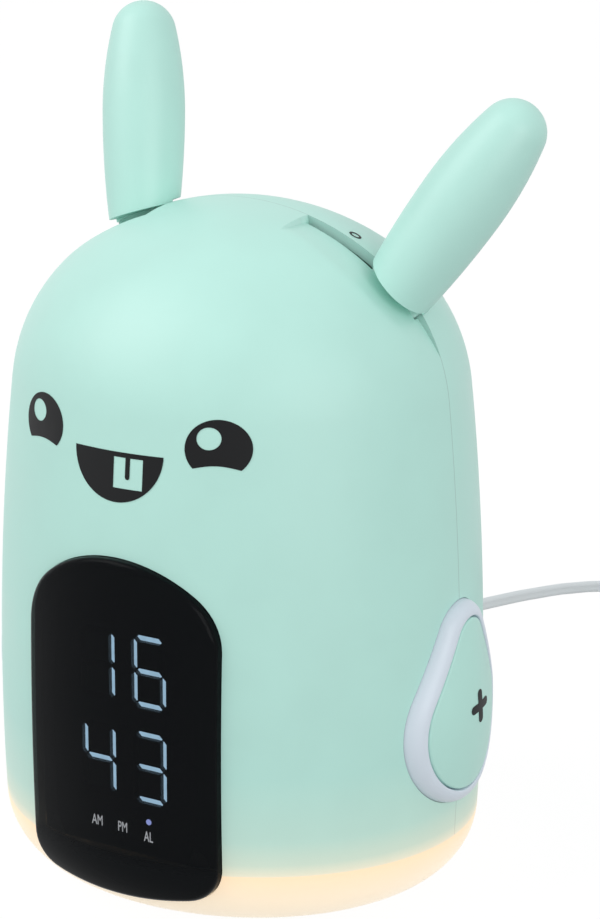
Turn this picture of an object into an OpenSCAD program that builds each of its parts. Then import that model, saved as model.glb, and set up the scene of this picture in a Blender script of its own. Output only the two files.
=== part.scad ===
/* [Body] */
// Width of the body across the arms
body_w = 110; // [100:1:124]
// Depth of the body from front to back
body_d = 99.8; // [92:0.2:110]
// Height of the body above its underside
body_h = 147.9; // [142:0.1:160]
// Height of the widest section above the underside
wide_h = 37.6; // [32:0.1:44]
// Radius of the barrel curve of the side wall
wall_r = 625; // [450:5:900]
// Radius of the shoulder, about which each ear swings
shoulder_r = 39.4; // [36:0.1:42]
// Radius of the crown
crown_r = 60.2; // [57:0.1:64]
// Radius of the foot curve under the night light
foot_r = 15.1; // [13:0.1:17]
// Height of the foot curve's centre above the underside
foot_h = 14.6; // [12.6:0.1:15]
// Wall thickness of the two shells
wall = 2.2; // [1.8:0.1:2.6]

/* [Night light] */
// Height of the opal base above its underside
light_h = 13.9; // [12.5:0.1:16]
// Wall thickness of the opal base
light_wall = 3.4; // [3.2:0.1:4]
// Height of the lip that centres the shells on the opal base
lip_h = 2.5; // [1.5:0.1:3]
// Radius of the opening under the opal base, along X
mouth_r = 37; // [35.5:0.5:38]
// Width of the step on which the base plate seats
step_w = 2; // [1.5:0.1:2.5]
// Thickness of the base plate
plate_t = 2; // [1.9:0.1:2.4]
// Thickness of the light tray
tray_t = 1.6; // [1.2:0.1:2]
// Width of the ledge inside the shells that carries the tray
ledge_w = 3.2; // [2.4:0.1:4]
// Radius of the posts between the tray and the base plate
post_r = 3.2; // [2.8:0.1:3.8]
// Radius of the light board
light_board_r = 18; // [15:0.5:19]
// Number of lamps on the light board
lamp_count = 8; // [4:1:12]

/* [Feet and cell] */
// Radius of a rubber foot
foot_pad_r = 4; // [3:0.1:4.6]
// Height by which the feet stand out of the base plate
foot_proud = 0.8; // [0.5:0.1:1.2]
// Distance of the feet from the middle along X
foot_x = 25; // [22:0.5:26]
// Distance of the feet from the middle along Y
foot_y = 19.5; // [17:0.5:20.5]
// Diameter of the back-up cell
cell_d = 20; // [16:0.1:20.2]
// Thickness of the back-up cell
cell_t = 3.2; // [2.4:0.1:3.4]
// Radius of the cell cover
cover_r = 12.6; // [12.3:0.1:14]

/* [Ears] */
// Angle from the vertical at which an ear's root stands when it is up
ear_up = 18.5; // [16:0.5:22]
// Angle through which an ear folds outward
ear_travel = 26; // [20:1:27]
// Width of an ear at its widest
ear_w = 17.9; // [15:0.1:19]
// Height of the widest place above the ear's root
ear_wide_h = 21.6; // [18:0.1:25]
// Radius of the lower curve of the ear's side
ear_low_r = 190; // [140:5:300]
// Radius of the upper curve of the ear's side
ear_high_r = 80; // [70:1:95]
// Radius of the rounded tip
ear_tip_r = 7; // [6.2:0.1:7.6]
// Lean of a raised ear out to the side
ear_out = 6.8; // [4:0.1:9]
// Lean of the ears to the back
ear_back = 11.1; // [8:0.1:13]
// Gap between a raised ear and the shells
ear_gap = 0.5; // [0.4:0.1:1]
// Width of the ear's neck where it passes the slot
neck_w = 14; // [11:0.1:14.6]
// Thickness of the ear lever's blade
blade_t = 1; // [0.8:0.1:1.4]
// Gap on each side of the blade in its slot
slot_gap = 0.2; // [0.15:0.05:0.4]
// Depth of the hollow in the front shell below each ear
scoop_depth = 1.9; // [1:0.1:2.2]
// Radius of the floor of that hollow
scoop_r = 58.6; // [57:0.1:62]
// Slope of the front of an ear's root, up towards the front
ear_bevel = 31; // [20:1:36]
// Radius of the pivot post
pivot_r = 3; // [2.5:0.1:3.5]
// Running clearance of the lever on its post
pivot_gap = 0.06; // [0.04:0.01:0.1]
// Outer radius of the lever's hub
hub_r = 6; // [5:0.1:6.6]

/* [Display] */
// Width of the display lens
lens_w = 46.8; // [42:0.5:50]
// Height of the display lens
lens_h = 74.7; // [70:0.5:80]
// Height of the lens's lower edge above the underside
lens_low = 5.8; // [4:0.1:8]
// Radius of the lens's lower edge
lens_bottom_r = 90; // [50:1:120]
// Radius of the lens's lower corners
lens_corner_r = 8; // [6:0.1:12]
// Radius of the lens's upper shoulders
lens_shoulder_r = 14.5; // [11:0.1:16]
// Height of those shoulders' centres below the lens's top
lens_shoulder_h = 17.6; // [17:0.1:21]
// Height of the lens's face over the body
lens_proud = 2.2; // [1.5:0.1:3]
// Depth of the lens's back under the body's surface
lens_deep = 1; // [0.6:0.1:1.6]
// Depth of the display board behind the foremost part of the body
board_deep = 15.4; // [13.9:0.1:16.9]
// Depth of the display panel's face behind the foremost part of the body
panel_deep = 3.9; // [3.4:0.1:5.9]
// Depth of the lit segments behind that face
digit_deep = 1; // [0.4:0.1:2]
// Height of one digit
digit_h = 16.1; // [13:0.1:17]
// Width of one digit
digit_w = 8.6; // [7:0.1:9]
// Width of one segment
segment_w = 1.5; // [1.2:0.1:1.8]
// Distance of a digit's centre from the middle
digit_x = 6.4; // [6:0.1:8]
// Height of the hours above the underside
hours_h = 55.8; // [55:0.1:60]
// Height of the minutes above the underside
minutes_h = 34.6; // [34:0.1:38]

/* [Arms] */
// Radius of the wide lower end of an arm ring
arm_low_r = 18; // [16:0.1:19]
// Radius of the narrow upper end
arm_top_r = 9; // [7:0.1:11]
// Height of the lower end's centre above the underside
arm_low_h = 40.5; // [39:0.1:44]
// Height of the upper end's centre above the underside
arm_top_h = 58.6; // [55:0.1:62]
// Width of the opal ring round the button
ring_w = 3.3; // [2.6:0.1:4]
// Height of the ring over the body
ring_proud = 3; // [2:0.1:4]
// Height of the button's middle over the body
button_proud = 4.5; // [4:0.1:6]
// Gap between the button and its ring
button_gap = 0.35; // [0.25:0.05:0.5]
// Travel of the arm buttons
button_travel = 0.8; // [0.4:0.1:0.9]
// Depth of the switch boards under the body's surface
arm_board_deep = 12.4; // [12:0.1:14]

/* [Back] */
// Radius of the speaker
speaker_r = 18; // [15:0.5:19]
// Height of the speaker above the underside
speaker_h = 95; // [90:1:100]
// Pitch of the speaker's holes
grille_pitch = 4.4; // [3.8:0.1:5]
// Radius of a hole of the speaker
grille_hole_r = 0.9; // [0.7:0.05:1.2]
// Radius of a key on the back
key_r = 4; // [3:0.1:4.4]
// Distance between the keys
key_pitch = 14; // [12:0.5:16]
// Height of the keys above the underside
key_h = 65; // [62:0.5:68]
// Height of a key over the body
key_proud = 1.2; // [0.8:0.1:1.8]
// Travel of a key
key_travel = 0.5; // [0.3:0.1:0.6]
// Length of a side key's stem behind its flange
key_stem_l = 1.2; // [0.8:0.1:2]
// Thickness of the circuit boards
board_t = 1.6; // [1:0.1:1.6]

/* [Screws] */
// Radius of a screw's shank
screw_r = 1.2; // [1:0.1:1.4]
// Radius of a screw's head
head_r = 2.6; // [2.2:0.1:2.8]
// Height of a screw's head
head_h = 1.1; // [0.9:0.1:1.2]
// Radius of the bosses that join the shells
boss_r = 3.8; // [3.5:0.1:4.2]
// Distance of the lower bosses from the middle
boss_low_x = 35; // [33:0.5:36]
// Height of the lower bosses above the underside
boss_low_h = 26; // [25:0.5:28]
// Distance of the upper bosses from the middle
boss_top_x = 33; // [31:0.5:34]
// Height of the upper bosses above the underside
boss_top_h = 95; // [90:0.5:97]

/* [Cord] */
// Width of the twin cord
cord_d = 3.1; // [2.4:0.1:3.1]
// Distance of the cord's outlet from the middle
outlet_x = 12; // [10:0.5:13]
// Height of the cord's outlet above the underside
outlet_h = 37.6; // [36:0.1:39]
// Length of the strain relief outside the shell
relief_l = 14; // [12:0.5:15]
// Radius of the coil at the middle of its turns
coil_r = 18.5; // [17:0.1:18.5]
// Width of the plug's metal shell
plug_w = 12; // [11:0.1:12.4]
// Height of the plug's metal shell
plug_t = 4.5; // [4:0.1:4.8]

/* [Hidden] */

$fn = 48;
fine = 96;        // facets of larger circles
very_fine = 1440; // facets of the side wall's long arc
far = 200;        // reach of cutting blocks, past the body
fit = 0.15;       // gap between fixed pieces whose faces are curved
seat = 0.05;      // gap between fixed pieces that lie face to face
tiny = 0.01;      // overlap that lets a cut run clear of a face
lap = 0.002;      // makes neighbouring arcs cross, where they would only touch

// Colours
mint = [0.70, 0.89, 0.85];
opal = [0.98, 0.93, 0.84];
ring_white = [0.83, 0.86, 0.89];
black = [0.06, 0.07, 0.07];
board_green = [0.13, 0.38, 0.25];
steel = [0.70, 0.71, 0.73];
cord_grey = [0.78, 0.80, 0.81];

// The body's outline: arcs that run into each other, from the foot to the crown
half_w = body_w / 2;
depth_ratio = body_d / body_w;
base_z = foot_proud;
top_z = base_z + body_h;
seam_z = base_z + light_h;
wall_c = [half_w - wall_r, base_z + wide_h];
crown_c = [0, top_z - crown_r];
foot_c = [wall_c[0] + sqrt(pow(wall_r - foot_r, 2) - pow(wide_h - foot_h, 2)), base_z + foot_h];
shoulder_c = crossing(crown_c, crown_r - shoulder_r, wall_c, wall_r - shoulder_r);
foot_a = heading(foot_c - wall_c);
wall_a = heading(shoulder_c - wall_c);
crown_a = heading(shoulder_c - crown_c);

function heading(v) = atan2(v[1], v[0]);
function ray(a) = [cos(a), sin(a)];
// Crossing of two circles, to the right of the line from a to b
function crossing(a, ra, b, rb) =
    let (d = norm(b - a), t = (d * d + ra * ra - rb * rb) / (2 * d), u = (b - a) / d)
    a + t * u + sqrt(ra * ra - t * t) * [u[1], -u[0]];
// Radius of the body's outline at height z, inset from its surface
function radius_at(z, inset) =
    z < foot_c[1] + (foot_r - inset) * sin(foot_a)
        ? foot_c[0] + sqrt(pow(foot_r - inset, 2) - pow(z - foot_c[1], 2))
        : z < shoulder_c[1] + (shoulder_r - inset) * sin(wall_a)
            ? wall_c[0] + sqrt(pow(wall_r - inset, 2) - pow(z - wall_c[1], 2))
            : shoulder_c[0] + sqrt(pow(shoulder_r - inset, 2) - pow(z - shoulder_c[1], 2));
// Distance of the body's surface from the middle, to the side and to the front or back
function side_x(y, z, inset) = sqrt(pow(radius_at(z, inset), 2) - pow(y / depth_ratio, 2));
function depth_y(x, z, inset) = depth_ratio * sqrt(pow(radius_at(z, inset), 2) - x * x);

// Light base and tray
mouth_z = base_z + light_wall;
lip_z = seam_z + lip_h;
ledge_z = lip_z + fit;
ledge_t = 1.4;
tray_z = ledge_z + ledge_t + seat;
tray_top = tray_z + tray_t;
post_at = [[30, 0], [-30, 0], [0, 26], [0, -26]];
head_deep = head_h + 0.1;
bore_r = screw_r + seat;     // hole a screw bites into
pass_r = screw_r + 0.3;      // hole a screw passes through
plate_top = base_z + plate_t;
light_board_z = tray_z - seat - board_t;
lamp_size = [3.4, 3.4, 1.4];
lamp_r = light_board_r - 4;
base_screw_l = 8;
foot_deep = 0.9;
cup_wall = 1.4;
cover_t = 1.2;
cell_gap = 0.2;
cell_z = base_z + cover_t + cell_gap;
cup_r = cell_d / 2 + cell_gap;
coin_slot = [12, 1.8, 0.6];

// Ears: each swings about the line through the centre of its shoulder
pivot = [shoulder_c[0], 0, shoulder_c[1]];
neck_a = asin(neck_w / 2 / shoulder_r);
slot_w = blade_t + 2 * slot_gap;
slot_end_a = 0.8;
slot_from = ear_up - neck_a - slot_end_a;
slot_to = ear_up + ear_travel + neck_a + slot_end_a;
root_r = shoulder_r + ear_gap;
root_y = -0.8;
tongue_w = 9;
tongue_l = 12;
arm_w = 9;
shutter_t = 1.2;
shutter_r = shoulder_r - wall - scoop_depth - 0.6;
shutter_half = 2.4;
shutter_in = 34;
shutter_out = 36;
blade_y = -slot_w / 2;
scoop_a = 39;
scoop_c = shoulder_c + (shoulder_r - scoop_depth - scoop_r) * [sin(scoop_a), cos(scoop_a)];
scoop_y = 16;
ear_root_h = 14; // length of the ear's turned form below its root, before the root is cut
hub_front = 4;
hub_back = 3;
hub_play = 0.15;
washer_r = 5;
washer_t = 0.8;
pivot_screw_l = 6;
frame_y = hub_back + hub_play;
frame_t = 2;
frame_boss_r = 3.4;
frame_boss_at = [24, shoulder_c[1] + 7];
frame_edge = 5;
frame_high = frame_boss_at[1] + frame_edge - pivot[2] + hub_r;
frame_screw_l = 6;
tail_l = 12;
tail_w = 3;
ear_switch_size = [9, 5, 5];
ear_switch_z = shoulder_c[1] - tail_l - 1.5 - ear_switch_size[2];

// Display
lens_low_z = base_z + lens_low;
lens_top_z = lens_low_z + lens_h;
lens_side = lens_w / 2;
lens_shoulder_c = [lens_side - lens_shoulder_r, lens_top_z - lens_shoulder_h];
lens_crown_r = (pow(lens_shoulder_c[0], 2) + pow(lens_shoulder_h, 2) - pow(lens_shoulder_r, 2))
    / (2 * (lens_shoulder_h - lens_shoulder_r));
lens_crown_c = [0, lens_top_z - lens_crown_r];
lens_bottom_c = [0, lens_low_z + lens_bottom_r];
lens_corner_c = [lens_side - lens_corner_r, lens_bottom_c[1]
    - sqrt(pow(lens_bottom_r - lens_corner_r, 2) - pow(lens_side - lens_corner_r, 2))];
lens_low_a = heading(lens_corner_c - lens_bottom_c);
lens_a = heading(lens_shoulder_c - lens_crown_c);
board_front_y = body_d / 2 - board_deep;
panel_y = body_d / 2 - panel_deep;
window_back = -board_front_y - 1;
frame_low_z = seam_z + 1;
frame_top_z = lens_top_z - 4;
frame_half = lens_side - 1.5;
digit_t = 3;
frame_in = 1.2;
board_half = boss_low_x - boss_r - 0.7;
board_low_z = tray_top + 2;
board_top_z = frame_top_z;
board_post_r = 2.6;
board_post_x = board_half - board_post_r;
board_post_z = [board_low_z + 5, board_top_z - 5];
board_hole = 3.4;
board_screw_l = 4;

// Arms
arm_low_z = base_z + arm_low_h;
arm_top_z = base_z + arm_top_h;
arm_span = arm_top_z - arm_low_z;
arm_tangent_a = 90 - acos((arm_low_r - arm_top_r) / arm_span);
ring_deep = 4;
// The ring's rounded front: part of its width, part of its height
ring_curve = [[0, 0], [0.06, 0.3], [0.24, 0.6], [0.46, 0.8], [0.71, 0.93], [0.9, 1], [1, 0.9]];
flange_w = 1.5;
button_flange_t = 1.2;
button_slack = 0.15;
flange_inset = ring_w - 1.2;
button_inset = ring_w + button_gap;
arm_mid_z = arm_low_z + 2;
switch_size = 6;
switch_h = 3.5;
plunger_r = 1.7;
plunger_h = 1;
stem_r = 3;
press_gap = 0.2;
arm_board_x = half_w - arm_board_deep;
arm_board_y = [-6, 8];
arm_board_top = arm_top_z + arm_top_r + 8;
arm_post_z = arm_board_top - 4;
arm_post_y = 4;
plunger_top = arm_board_x + switch_h + plunger_h;

// Back
speaker_z = base_z + speaker_h;
speaker_y = depth_y(speaker_r + 1, speaker_z + speaker_r, wall) - 1;
speaker_depth = 13;
speaker_rim_t = 3;
magnet_t = 4;
rim_w = 2;
grille_r = speaker_r - 4;
key_z = base_z + key_h;
key_x = [-key_pitch, 0, key_pitch];
key_gap = 0.3;
key_edge = 0.5;
key_flange_w = 1.1;
key_flange_t = 1;
key_stem_r = 1.8;
function key_flange_y(x) = depth_y(abs(x) + key_edge_r, key_z + key_edge_r, wall) - key_gap;
main_half = 29;
main_low_z = tray_top + 4;
main_top_z = key_z + 7;
key_edge_r = key_r + key_flange_w;
side_flange_y = key_flange_y(key_pitch);
key_plunger_y = side_flange_y - key_flange_t - key_stem_l - press_gap - key_travel;
main_face = key_plunger_y - plunger_h - switch_h;
board_back_y = main_face - board_t;
main_post_x = main_half - 3;
main_post_at = [for (x = [-main_post_x, main_post_x], z = [main_low_z + 4, main_top_z - 3]) [x, z]];
boss_at = [for (side = [-1, 1], b = [[boss_low_x, boss_low_h], [boss_top_x, boss_top_h]])
    [side * b[0], base_z + b[1]]];
well_r = head_r + 0.4;
screw_seat_y = 12;
screw_in = 10;

// Cord
cord_r = cord_d / 2;
outlet_z = base_z + outlet_h;
outlet_y = depth_y(outlet_x, outlet_z, 0);
relief_r = 3;
relief_flange_r = 4.4;
relief_end_r = 2;
relief_flange_t = 2;
cord_route = [[12, 61, 38.1], [12.3, 68, 37.4], [12.6, 76, 36.4], [13, 84, 35.1], [13.4, 92, 33.8],
    [13.7, 100, 32.5], [14, 108, 31.2], [14, 116, 29.7], [14, 124, 28.1], [14, 132, 26.5],
    [14, 140, 24.8], [14, 148, 22.9], [14, 156, 21], [14, 164, 18.9], [14, 172, 16.6], [14, 180, 14.2],
    [14.2, 188, 11.6], [14.6, 196, 8.9], [15.2, 204, 6.2], [16.4, 212, 3.8], [18.6, 219, 2.4],
    [23, 225, 1.8], [29, 228.8, 1.7], [36, 229.4, 1.7], [42.6, 227.2, 1.8]];
tail_route = [[66, 203, 4], [66, 197, 4], [66, 190, 4], [66, 184, 4]];
cord_sides = 8;
coil_c = [44, 205, 0.5];
coil_wide = 3 * cord_d;
coil_high = 4 * cord_d;
plug_body_size = [15, 26, 7.6];
plug_shell_l = 12;
plug_sheet = 0.4;
plug_end = [66, 185, 4];

// Flat outline of half the body, inset from its surface
module body_outline(inset) {
    difference() {
        intersection() {
            translate(wall_c) circle(wall_r - inset, $fn = very_fine);
            union() {
                translate(crown_c) circle(crown_r - inset, $fn = 360);
                square([far, crown_c[1]]);
            }
            translate([0, base_z]) square([far, far]);
        }
        corner(shoulder_c, shoulder_r - inset, wall_a, crown_a);
        corner(foot_c, foot_r - inset, -91, foot_a);
    }
}

// What lies outside an arc of radius r between two headings
module corner(c, r, from, to) {
    reach = 4 * r;
    difference() {
        polygon([c, c + reach * ray(from), c + 1.5 * reach * ray((from + to) / 2), c + reach * ray(to)]);
        translate(c) circle(r + lap, $fn = 240);
    }
}

// The front or the rear half of the body, with an elliptical section
module body_half(inset, front) {
    scale([1, depth_ratio, 1]) rotate(front ? 180 : 0)
        rotate_extrude(angle = 180, $fn = 180) body_outline(inset);
}

module body_solid(inset) {
    body_half(inset, true);
    body_half(inset, false);
}

// A level slab, for keeping what lies between two heights
module level(low, high) {
    translate([-far, -far, low]) cube([2 * far, 2 * far, high - low]);
}

// A round rod along Y
module rod_y(x, z, from, to, r) {
    translate([x, from, z]) rotate([-90, 0, 0]) cylinder(h = to - from, r = r);
}

// A round rod along X
module rod_x(y, z, from, to, r) {
    translate([from, y, z]) rotate([0, 90, 0]) cylinder(h = to - from, r = r);
}

// Something on both sides of the body
module both_sides() {
    children();
    mirror([1, 0, 0]) children();
}

// Loops of points joined to a closed skin, with a point at each end or wrapped on itself
module loft(loops, wrap = false) {
    n = len(loops[0]);
    m = len(loops);
    last = wrap ? m - 1 : m - 2;
    skin = [for (j = [0 : last], i = [0 : n - 1])
        let (a = j * n + i, b = j * n + (i + 1) % n, k = (j + 1) % m * n)
        each [[a, k + (i + 1) % n, b], [a, k + i, k + (i + 1) % n]]];
    caps = wrap ? [] : [for (i = [0 : n - 1])
        each [[n * m, i, (i + 1) % n], [n * m + 1, (m - 1) * n + (i + 1) % n, (m - 1) * n + i]]];
    ends = wrap ? [] : [middle(loops[0]), middle(loops[m - 1])];
    polyhedron(concat([for (l = loops) each l], ends), concat(skin, caps));
}
function middle(p) = let (n = len(p)) [for (i = [1 : n]) 1 / n] * p;

// Points along an arc
function arc(c, r, from, to, n) = [for (i = [0 : n]) c + r * ray(from + (to - from) * i / n)];
// The same outline with its long edges divided as those of the outline ref are
function divided(p, ref, step) = [for (i = [0 : len(p) - 1])
    let (k = (i + 1) % len(p), m = ceil(norm(ref[k] - ref[i]) / step))
    for (j = [0 : m - 1]) p[i] + (p[k] - p[i]) * j / m];
function shrunk(p, c, s) = [for (q = p) c + s * (q - c)];

// Outline of the lens, inset from its edge
function lens_points(inset) = concat(
    arc(lens_bottom_c, lens_bottom_r - inset, -90, lens_low_a - 2, 6),
    arc(lens_corner_c, lens_corner_r - inset, lens_low_a, 0, 8),
    arc(lens_shoulder_c, lens_shoulder_r - inset, 0, lens_a, 8),
    arc(lens_crown_c, lens_crown_r - inset, lens_a + 4, 176 - lens_a, 12),
    arc([-lens_shoulder_c[0], lens_shoulder_c[1]], lens_shoulder_r - inset, 180 - lens_a, 180, 8),
    arc([-lens_corner_c[0], lens_corner_c[1]], lens_corner_r - inset, 180, 180 - lens_low_a, 8),
    arc(lens_bottom_c, lens_bottom_r - inset, 182 - lens_low_a, 266, 5));
// Outline of the arm ring in Y and Z, inset from its edge
function arm_points(inset) = concat(
    arc([0, arm_top_z], arm_top_r - inset, arm_tangent_a, 180 - arm_tangent_a, 12),
    arc([0, arm_low_z], arm_low_r - inset, 180 - arm_tangent_a, 360 + arm_tangent_a, 26));
function lens_loop(inset, deep, size = 1) =
    [for (q = shrunk(divided(lens_points(inset), lens_points(0), 4), [0, lens_low_z + lens_h / 2], size))
        [q[0], -depth_y(q[0], q[1], deep), q[1]]];
function arm_loop(inset, deep, rise = 0, size = 1) =
    [for (q = shrunk(divided(arm_points(inset), arm_points(0), 4), [0, arm_mid_z], size))
        [side_x(q[0], q[1], deep) + rise, q[0], q[1]]];

// Flat outlines of the same shapes for cuts
module lens_flat(inset) {
    difference() {
        intersection() {
            union() {
                translate(lens_crown_c) circle(lens_crown_r - inset, $fn = fine);
                translate([-far, 0]) square([2 * far, lens_crown_c[1]]);
            }
            union() {
                translate(lens_bottom_c) circle(lens_bottom_r - inset, $fn = fine);
                translate([-far, lens_bottom_c[1]]) square([2 * far, far]);
            }
            translate([-lens_side + inset, 0]) square([lens_w - 2 * inset, far]);
        }
        both_sides() {
            corner(lens_shoulder_c, lens_shoulder_r - inset, 0, lens_a);
            corner(lens_corner_c, lens_corner_r - inset, lens_low_a, 0);
        }
    }
}
module lens_window(inset, back) {
    translate([0, back, 0]) rotate([90, 0, 0]) linear_extrude(far) lens_flat(inset);
}
module arm_flat(inset) {
    low_r = arm_low_r - inset;
    top_r = arm_top_r - inset;
    t = ray(arm_tangent_a);
    translate([0, arm_low_z]) circle(low_r, $fn = fine);
    translate([0, arm_top_z]) circle(top_r, $fn = fine);
    polygon([[low_r * t[0], arm_low_z + low_r * t[1]], [top_r * t[0], arm_top_z + top_r * t[1]],
        [-top_r * t[0], arm_top_z + top_r * t[1]], [-low_r * t[0], arm_low_z + low_r * t[1]]]);
}
module arm_window() {
    translate([half_w / 2, 0, 0]) rotate([90, 0, 90]) linear_extrude(half_w) arm_flat(0);
}

// A ring sector in the plane of the ears, about the pivot, between two angles from the vertical
module ear_sector(r_in, r_out, from, to) {
    span = (to - from) / 4;
    difference() {
        intersection() {
            circle(r_out, $fn = 180);
            polygon([[0, 0], for (i = [0 : 4]) 1.2 * r_out * [sin(from + i * span), cos(from + i * span)]]);
        }
        circle(r_in, $fn = 180);
    }
}
// A flat shape in the ears' plane, from y = front to y = back
module ear_plane(front, back) {
    translate([0, back, 0]) rotate([90, 0, 0]) linear_extrude(back - front) children();
}

// The hollow in the front shell beside an ear
module ear_scoop(thick) {
    difference() {
        translate([0, -scoop_y, shoulder_c[1]]) cube([far, scoop_y + 1, far]);
        rod_y(scoop_c[0], scoop_c[1], -far, far, scoop_r - thick, $fn = 240);
    }
}

module ear_slot() {
    translate(pivot) ear_plane(-slot_w, tiny)
        ear_sector(shutter_r - shutter_t, 1.2 * shoulder_r, slot_from, slot_to);
}

// The ledge inside the shells that carries the light tray
module shell_ledge(front) {
    difference() {
        intersection() {
            body_half(0, front);
            level(ledge_z, ledge_z + ledge_t);
        }
        body_half(wall + ledge_w, front);
    }
}

module front_shell() {
    color(mint) difference() {
        intersection() {
            body_half(0, true);
            level(seam_z, far);
        }
        difference() {
            body_half(wall, true);
            both_sides() ear_scoop(wall);
            shell_ledge(true);
            for (b = boss_at) rod_y(b[0], b[1], -far, far, boss_r);
            for (z = board_post_z) both_sides() rod_y(board_post_x, z, -far, -board_front_y, board_post_r);
        }
        both_sides() {
            ear_scoop(0);
            ear_slot();
            arm_window();
        }
        lens_window(-fit, window_back);
        for (b = boss_at) rod_y(b[0], b[1], -screw_in, 1, bore_r);
        for (z = board_post_z) both_sides()
            rod_y(board_post_x, z, -board_front_y - board_hole, -board_front_y + 1, bore_r);
    }
}

// The rear shell before its sound holes are drilled
module rear_blank() {
    difference() {
        intersection() {
            body_half(0, false);
            level(seam_z, far);
        }
        difference() {
            body_half(wall, false);
            shell_ledge(false);
            for (b = boss_at) rod_y(b[0], b[1], -far, far, boss_r);
            for (p = main_post_at) rod_y(p[0], p[1], main_face + seat, far, board_post_r);
            both_sides() {
                rod_y(frame_boss_at[0], frame_boss_at[1], frame_y + frame_t + seat, far, frame_boss_r);
                rod_x(arm_post_y, arm_post_z, arm_board_x + seat, far, board_post_r);
            }
            difference() {
                rod_y(0, speaker_z, speaker_y + seat, far, speaker_r);
                rod_y(0, speaker_z, 0, far, speaker_r - rim_w);
            }
        }
        both_sides() arm_window();
        for (b = boss_at) {
            rod_y(b[0], b[1], -1, far, pass_r);
            rod_y(b[0], b[1], screw_seat_y, far, well_r);
        }
        for (p = main_post_at) rod_y(p[0], p[1], main_face - 1, main_face + board_hole, bore_r);
        both_sides() {
            rod_y(frame_boss_at[0], frame_boss_at[1], 0, frame_y + frame_t + frame_screw_l, bore_r);
            rod_x(arm_post_y, arm_post_z, arm_board_x - 1, arm_board_x + board_hole, bore_r);
        }
        for (x = key_x) rod_y(x, key_z, main_face, far, key_r + key_gap);
        rod_y(outlet_x, outlet_z, main_face, far, relief_r + seat);
    }
}

module rear_shell() {
    color(mint) difference() {
        rear_blank();
        speaker_grille();
    }
}

module speaker_grille() {
    n = floor(grille_r / grille_pitch) + 1;
    for (i = [-n : n], j = [-n : n]) {
        p = grille_pitch * [i + (j % 2 == 0 ? 0 : 0.5), j * sin(60)];
        if (norm(p) <= grille_r)
            rod_y(p[0], speaker_z + p[1], speaker_y, far, grille_hole_r, $fn = 24);
    }
}

module mouth_disc(r, low, high) {
    translate([0, 0, low]) scale([1, depth_ratio, 1]) cylinder(h = high - low, r = r, $fn = fine);
}

module night_light_base() {
    color(opal) difference() {
        intersection() {
            body_solid(0);
            union() {
                level(base_z, seam_z);
                intersection() {
                    body_solid(wall + fit);
                    level(base_z, lip_z);
                }
            }
        }
        intersection() {
            body_solid(light_wall);
            level(mouth_z, far);
        }
        mouth_disc(mouth_r, 0, far);
        mouth_disc(mouth_r + step_w, 0, plate_top + seat);
        lens_window(-fit, window_back);
    }
}

module base_plate() {
    color([0.93, 0.93, 0.92]) difference() {
        union() {
            mouth_disc(mouth_r + step_w - fit, base_z, plate_top);
            translate([0, 0, base_z])
                cylinder(h = cover_t + 2 * cell_gap + cell_t + cup_wall, r = cup_r + cup_wall);
        }
        translate([0, 0, base_z + cover_t]) cylinder(h = cell_t + 2 * cell_gap, r = cup_r);
        cylinder(h = base_z + cover_t + seat, r = cover_r + fit);
        foot_places() cylinder(h = base_z + foot_deep, r = foot_pad_r + seat);
        for (p = post_at) translate([p[0], p[1], 0]) {
            cylinder(h = far, r = pass_r);
            cylinder(h = base_z + head_deep, r = head_r + 0.3);
        }
    }
}

module foot_places() {
    for (x = [-foot_x, foot_x], y = [-foot_y, foot_y]) translate([x, y, 0]) children();
}

module rubber_feet() {
    color(black) foot_places() cylinder(h = base_z + foot_deep - seat, r = foot_pad_r);
}

module light_tray() {
    color("white") difference() {
        union() {
            intersection() {
                body_solid(wall + fit);
                level(tray_z, tray_top);
            }
            for (p = post_at) translate([p[0], p[1], plate_top + seat])
                cylinder(h = tray_z - plate_top, r = post_r);
        }
        for (p = post_at) translate([p[0], p[1], 0])
            cylinder(h = plate_top + base_screw_l + 1, r = bore_r);
        lens_window(-fit, seat - board_front_y);
    }
}

module light_board() {
    color(board_green) translate([0, 0, light_board_z]) cylinder(h = board_t, r = light_board_r);
}

module light_lamps() {
    color("lightyellow") for (i = [0 : lamp_count - 1]) rotate(360 * i / lamp_count)
        translate([lamp_r - lamp_size[0] / 2, -lamp_size[1] / 2, light_board_z - lamp_size[2]])
            cube(lamp_size);
}

module display_lens() {
    back = [for (s = [0.25 : 0.25 : 0.75]) lens_loop(0.6, lens_deep, s)];
    rim = [lens_loop(0.4, lens_deep), lens_loop(0, lens_deep - 0.4), lens_loop(0, 1 - lens_proud),
        lens_loop(0.15, 0.5 - lens_proud), lens_loop(0.6, 0.15 - lens_proud), lens_loop(1.3, -lens_proud)];
    face = [for (s = [0.85, 0.65, 0.45, 0.25]) lens_loop(1.3, -lens_proud, s)];
    color(black) loft(concat(back, rim, face));
}

// Bars of one digit, lit as listed: top, upper right, lower right, bottom, lower left, upper left, middle
module digit(lit, inset = 0) {
    w = digit_w - segment_w;
    h = (digit_h - segment_w) / 2;
    bars = [[0, h, 0], [w / 2, h / 2, 90], [w / 2, -h / 2, 90], [0, -h, 0], [-w / 2, -h / 2, 90],
        [-w / 2, h / 2, 90], [0, 0, 0]];
    for (i = [0 : 6]) if (lit[i] == 1) translate([bars[i][0], bars[i][1]]) rotate(bars[i][2]) {
        bar = (bars[i][2] == 0 ? w : h) / 2 - 0.2 - inset;
        t = segment_w / 2 - inset;
        polygon([[-bar, 0], [t - bar, -t], [bar - t, -t], [bar, 0], [bar - t, t], [t - bar, t]]);
    }
}

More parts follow.
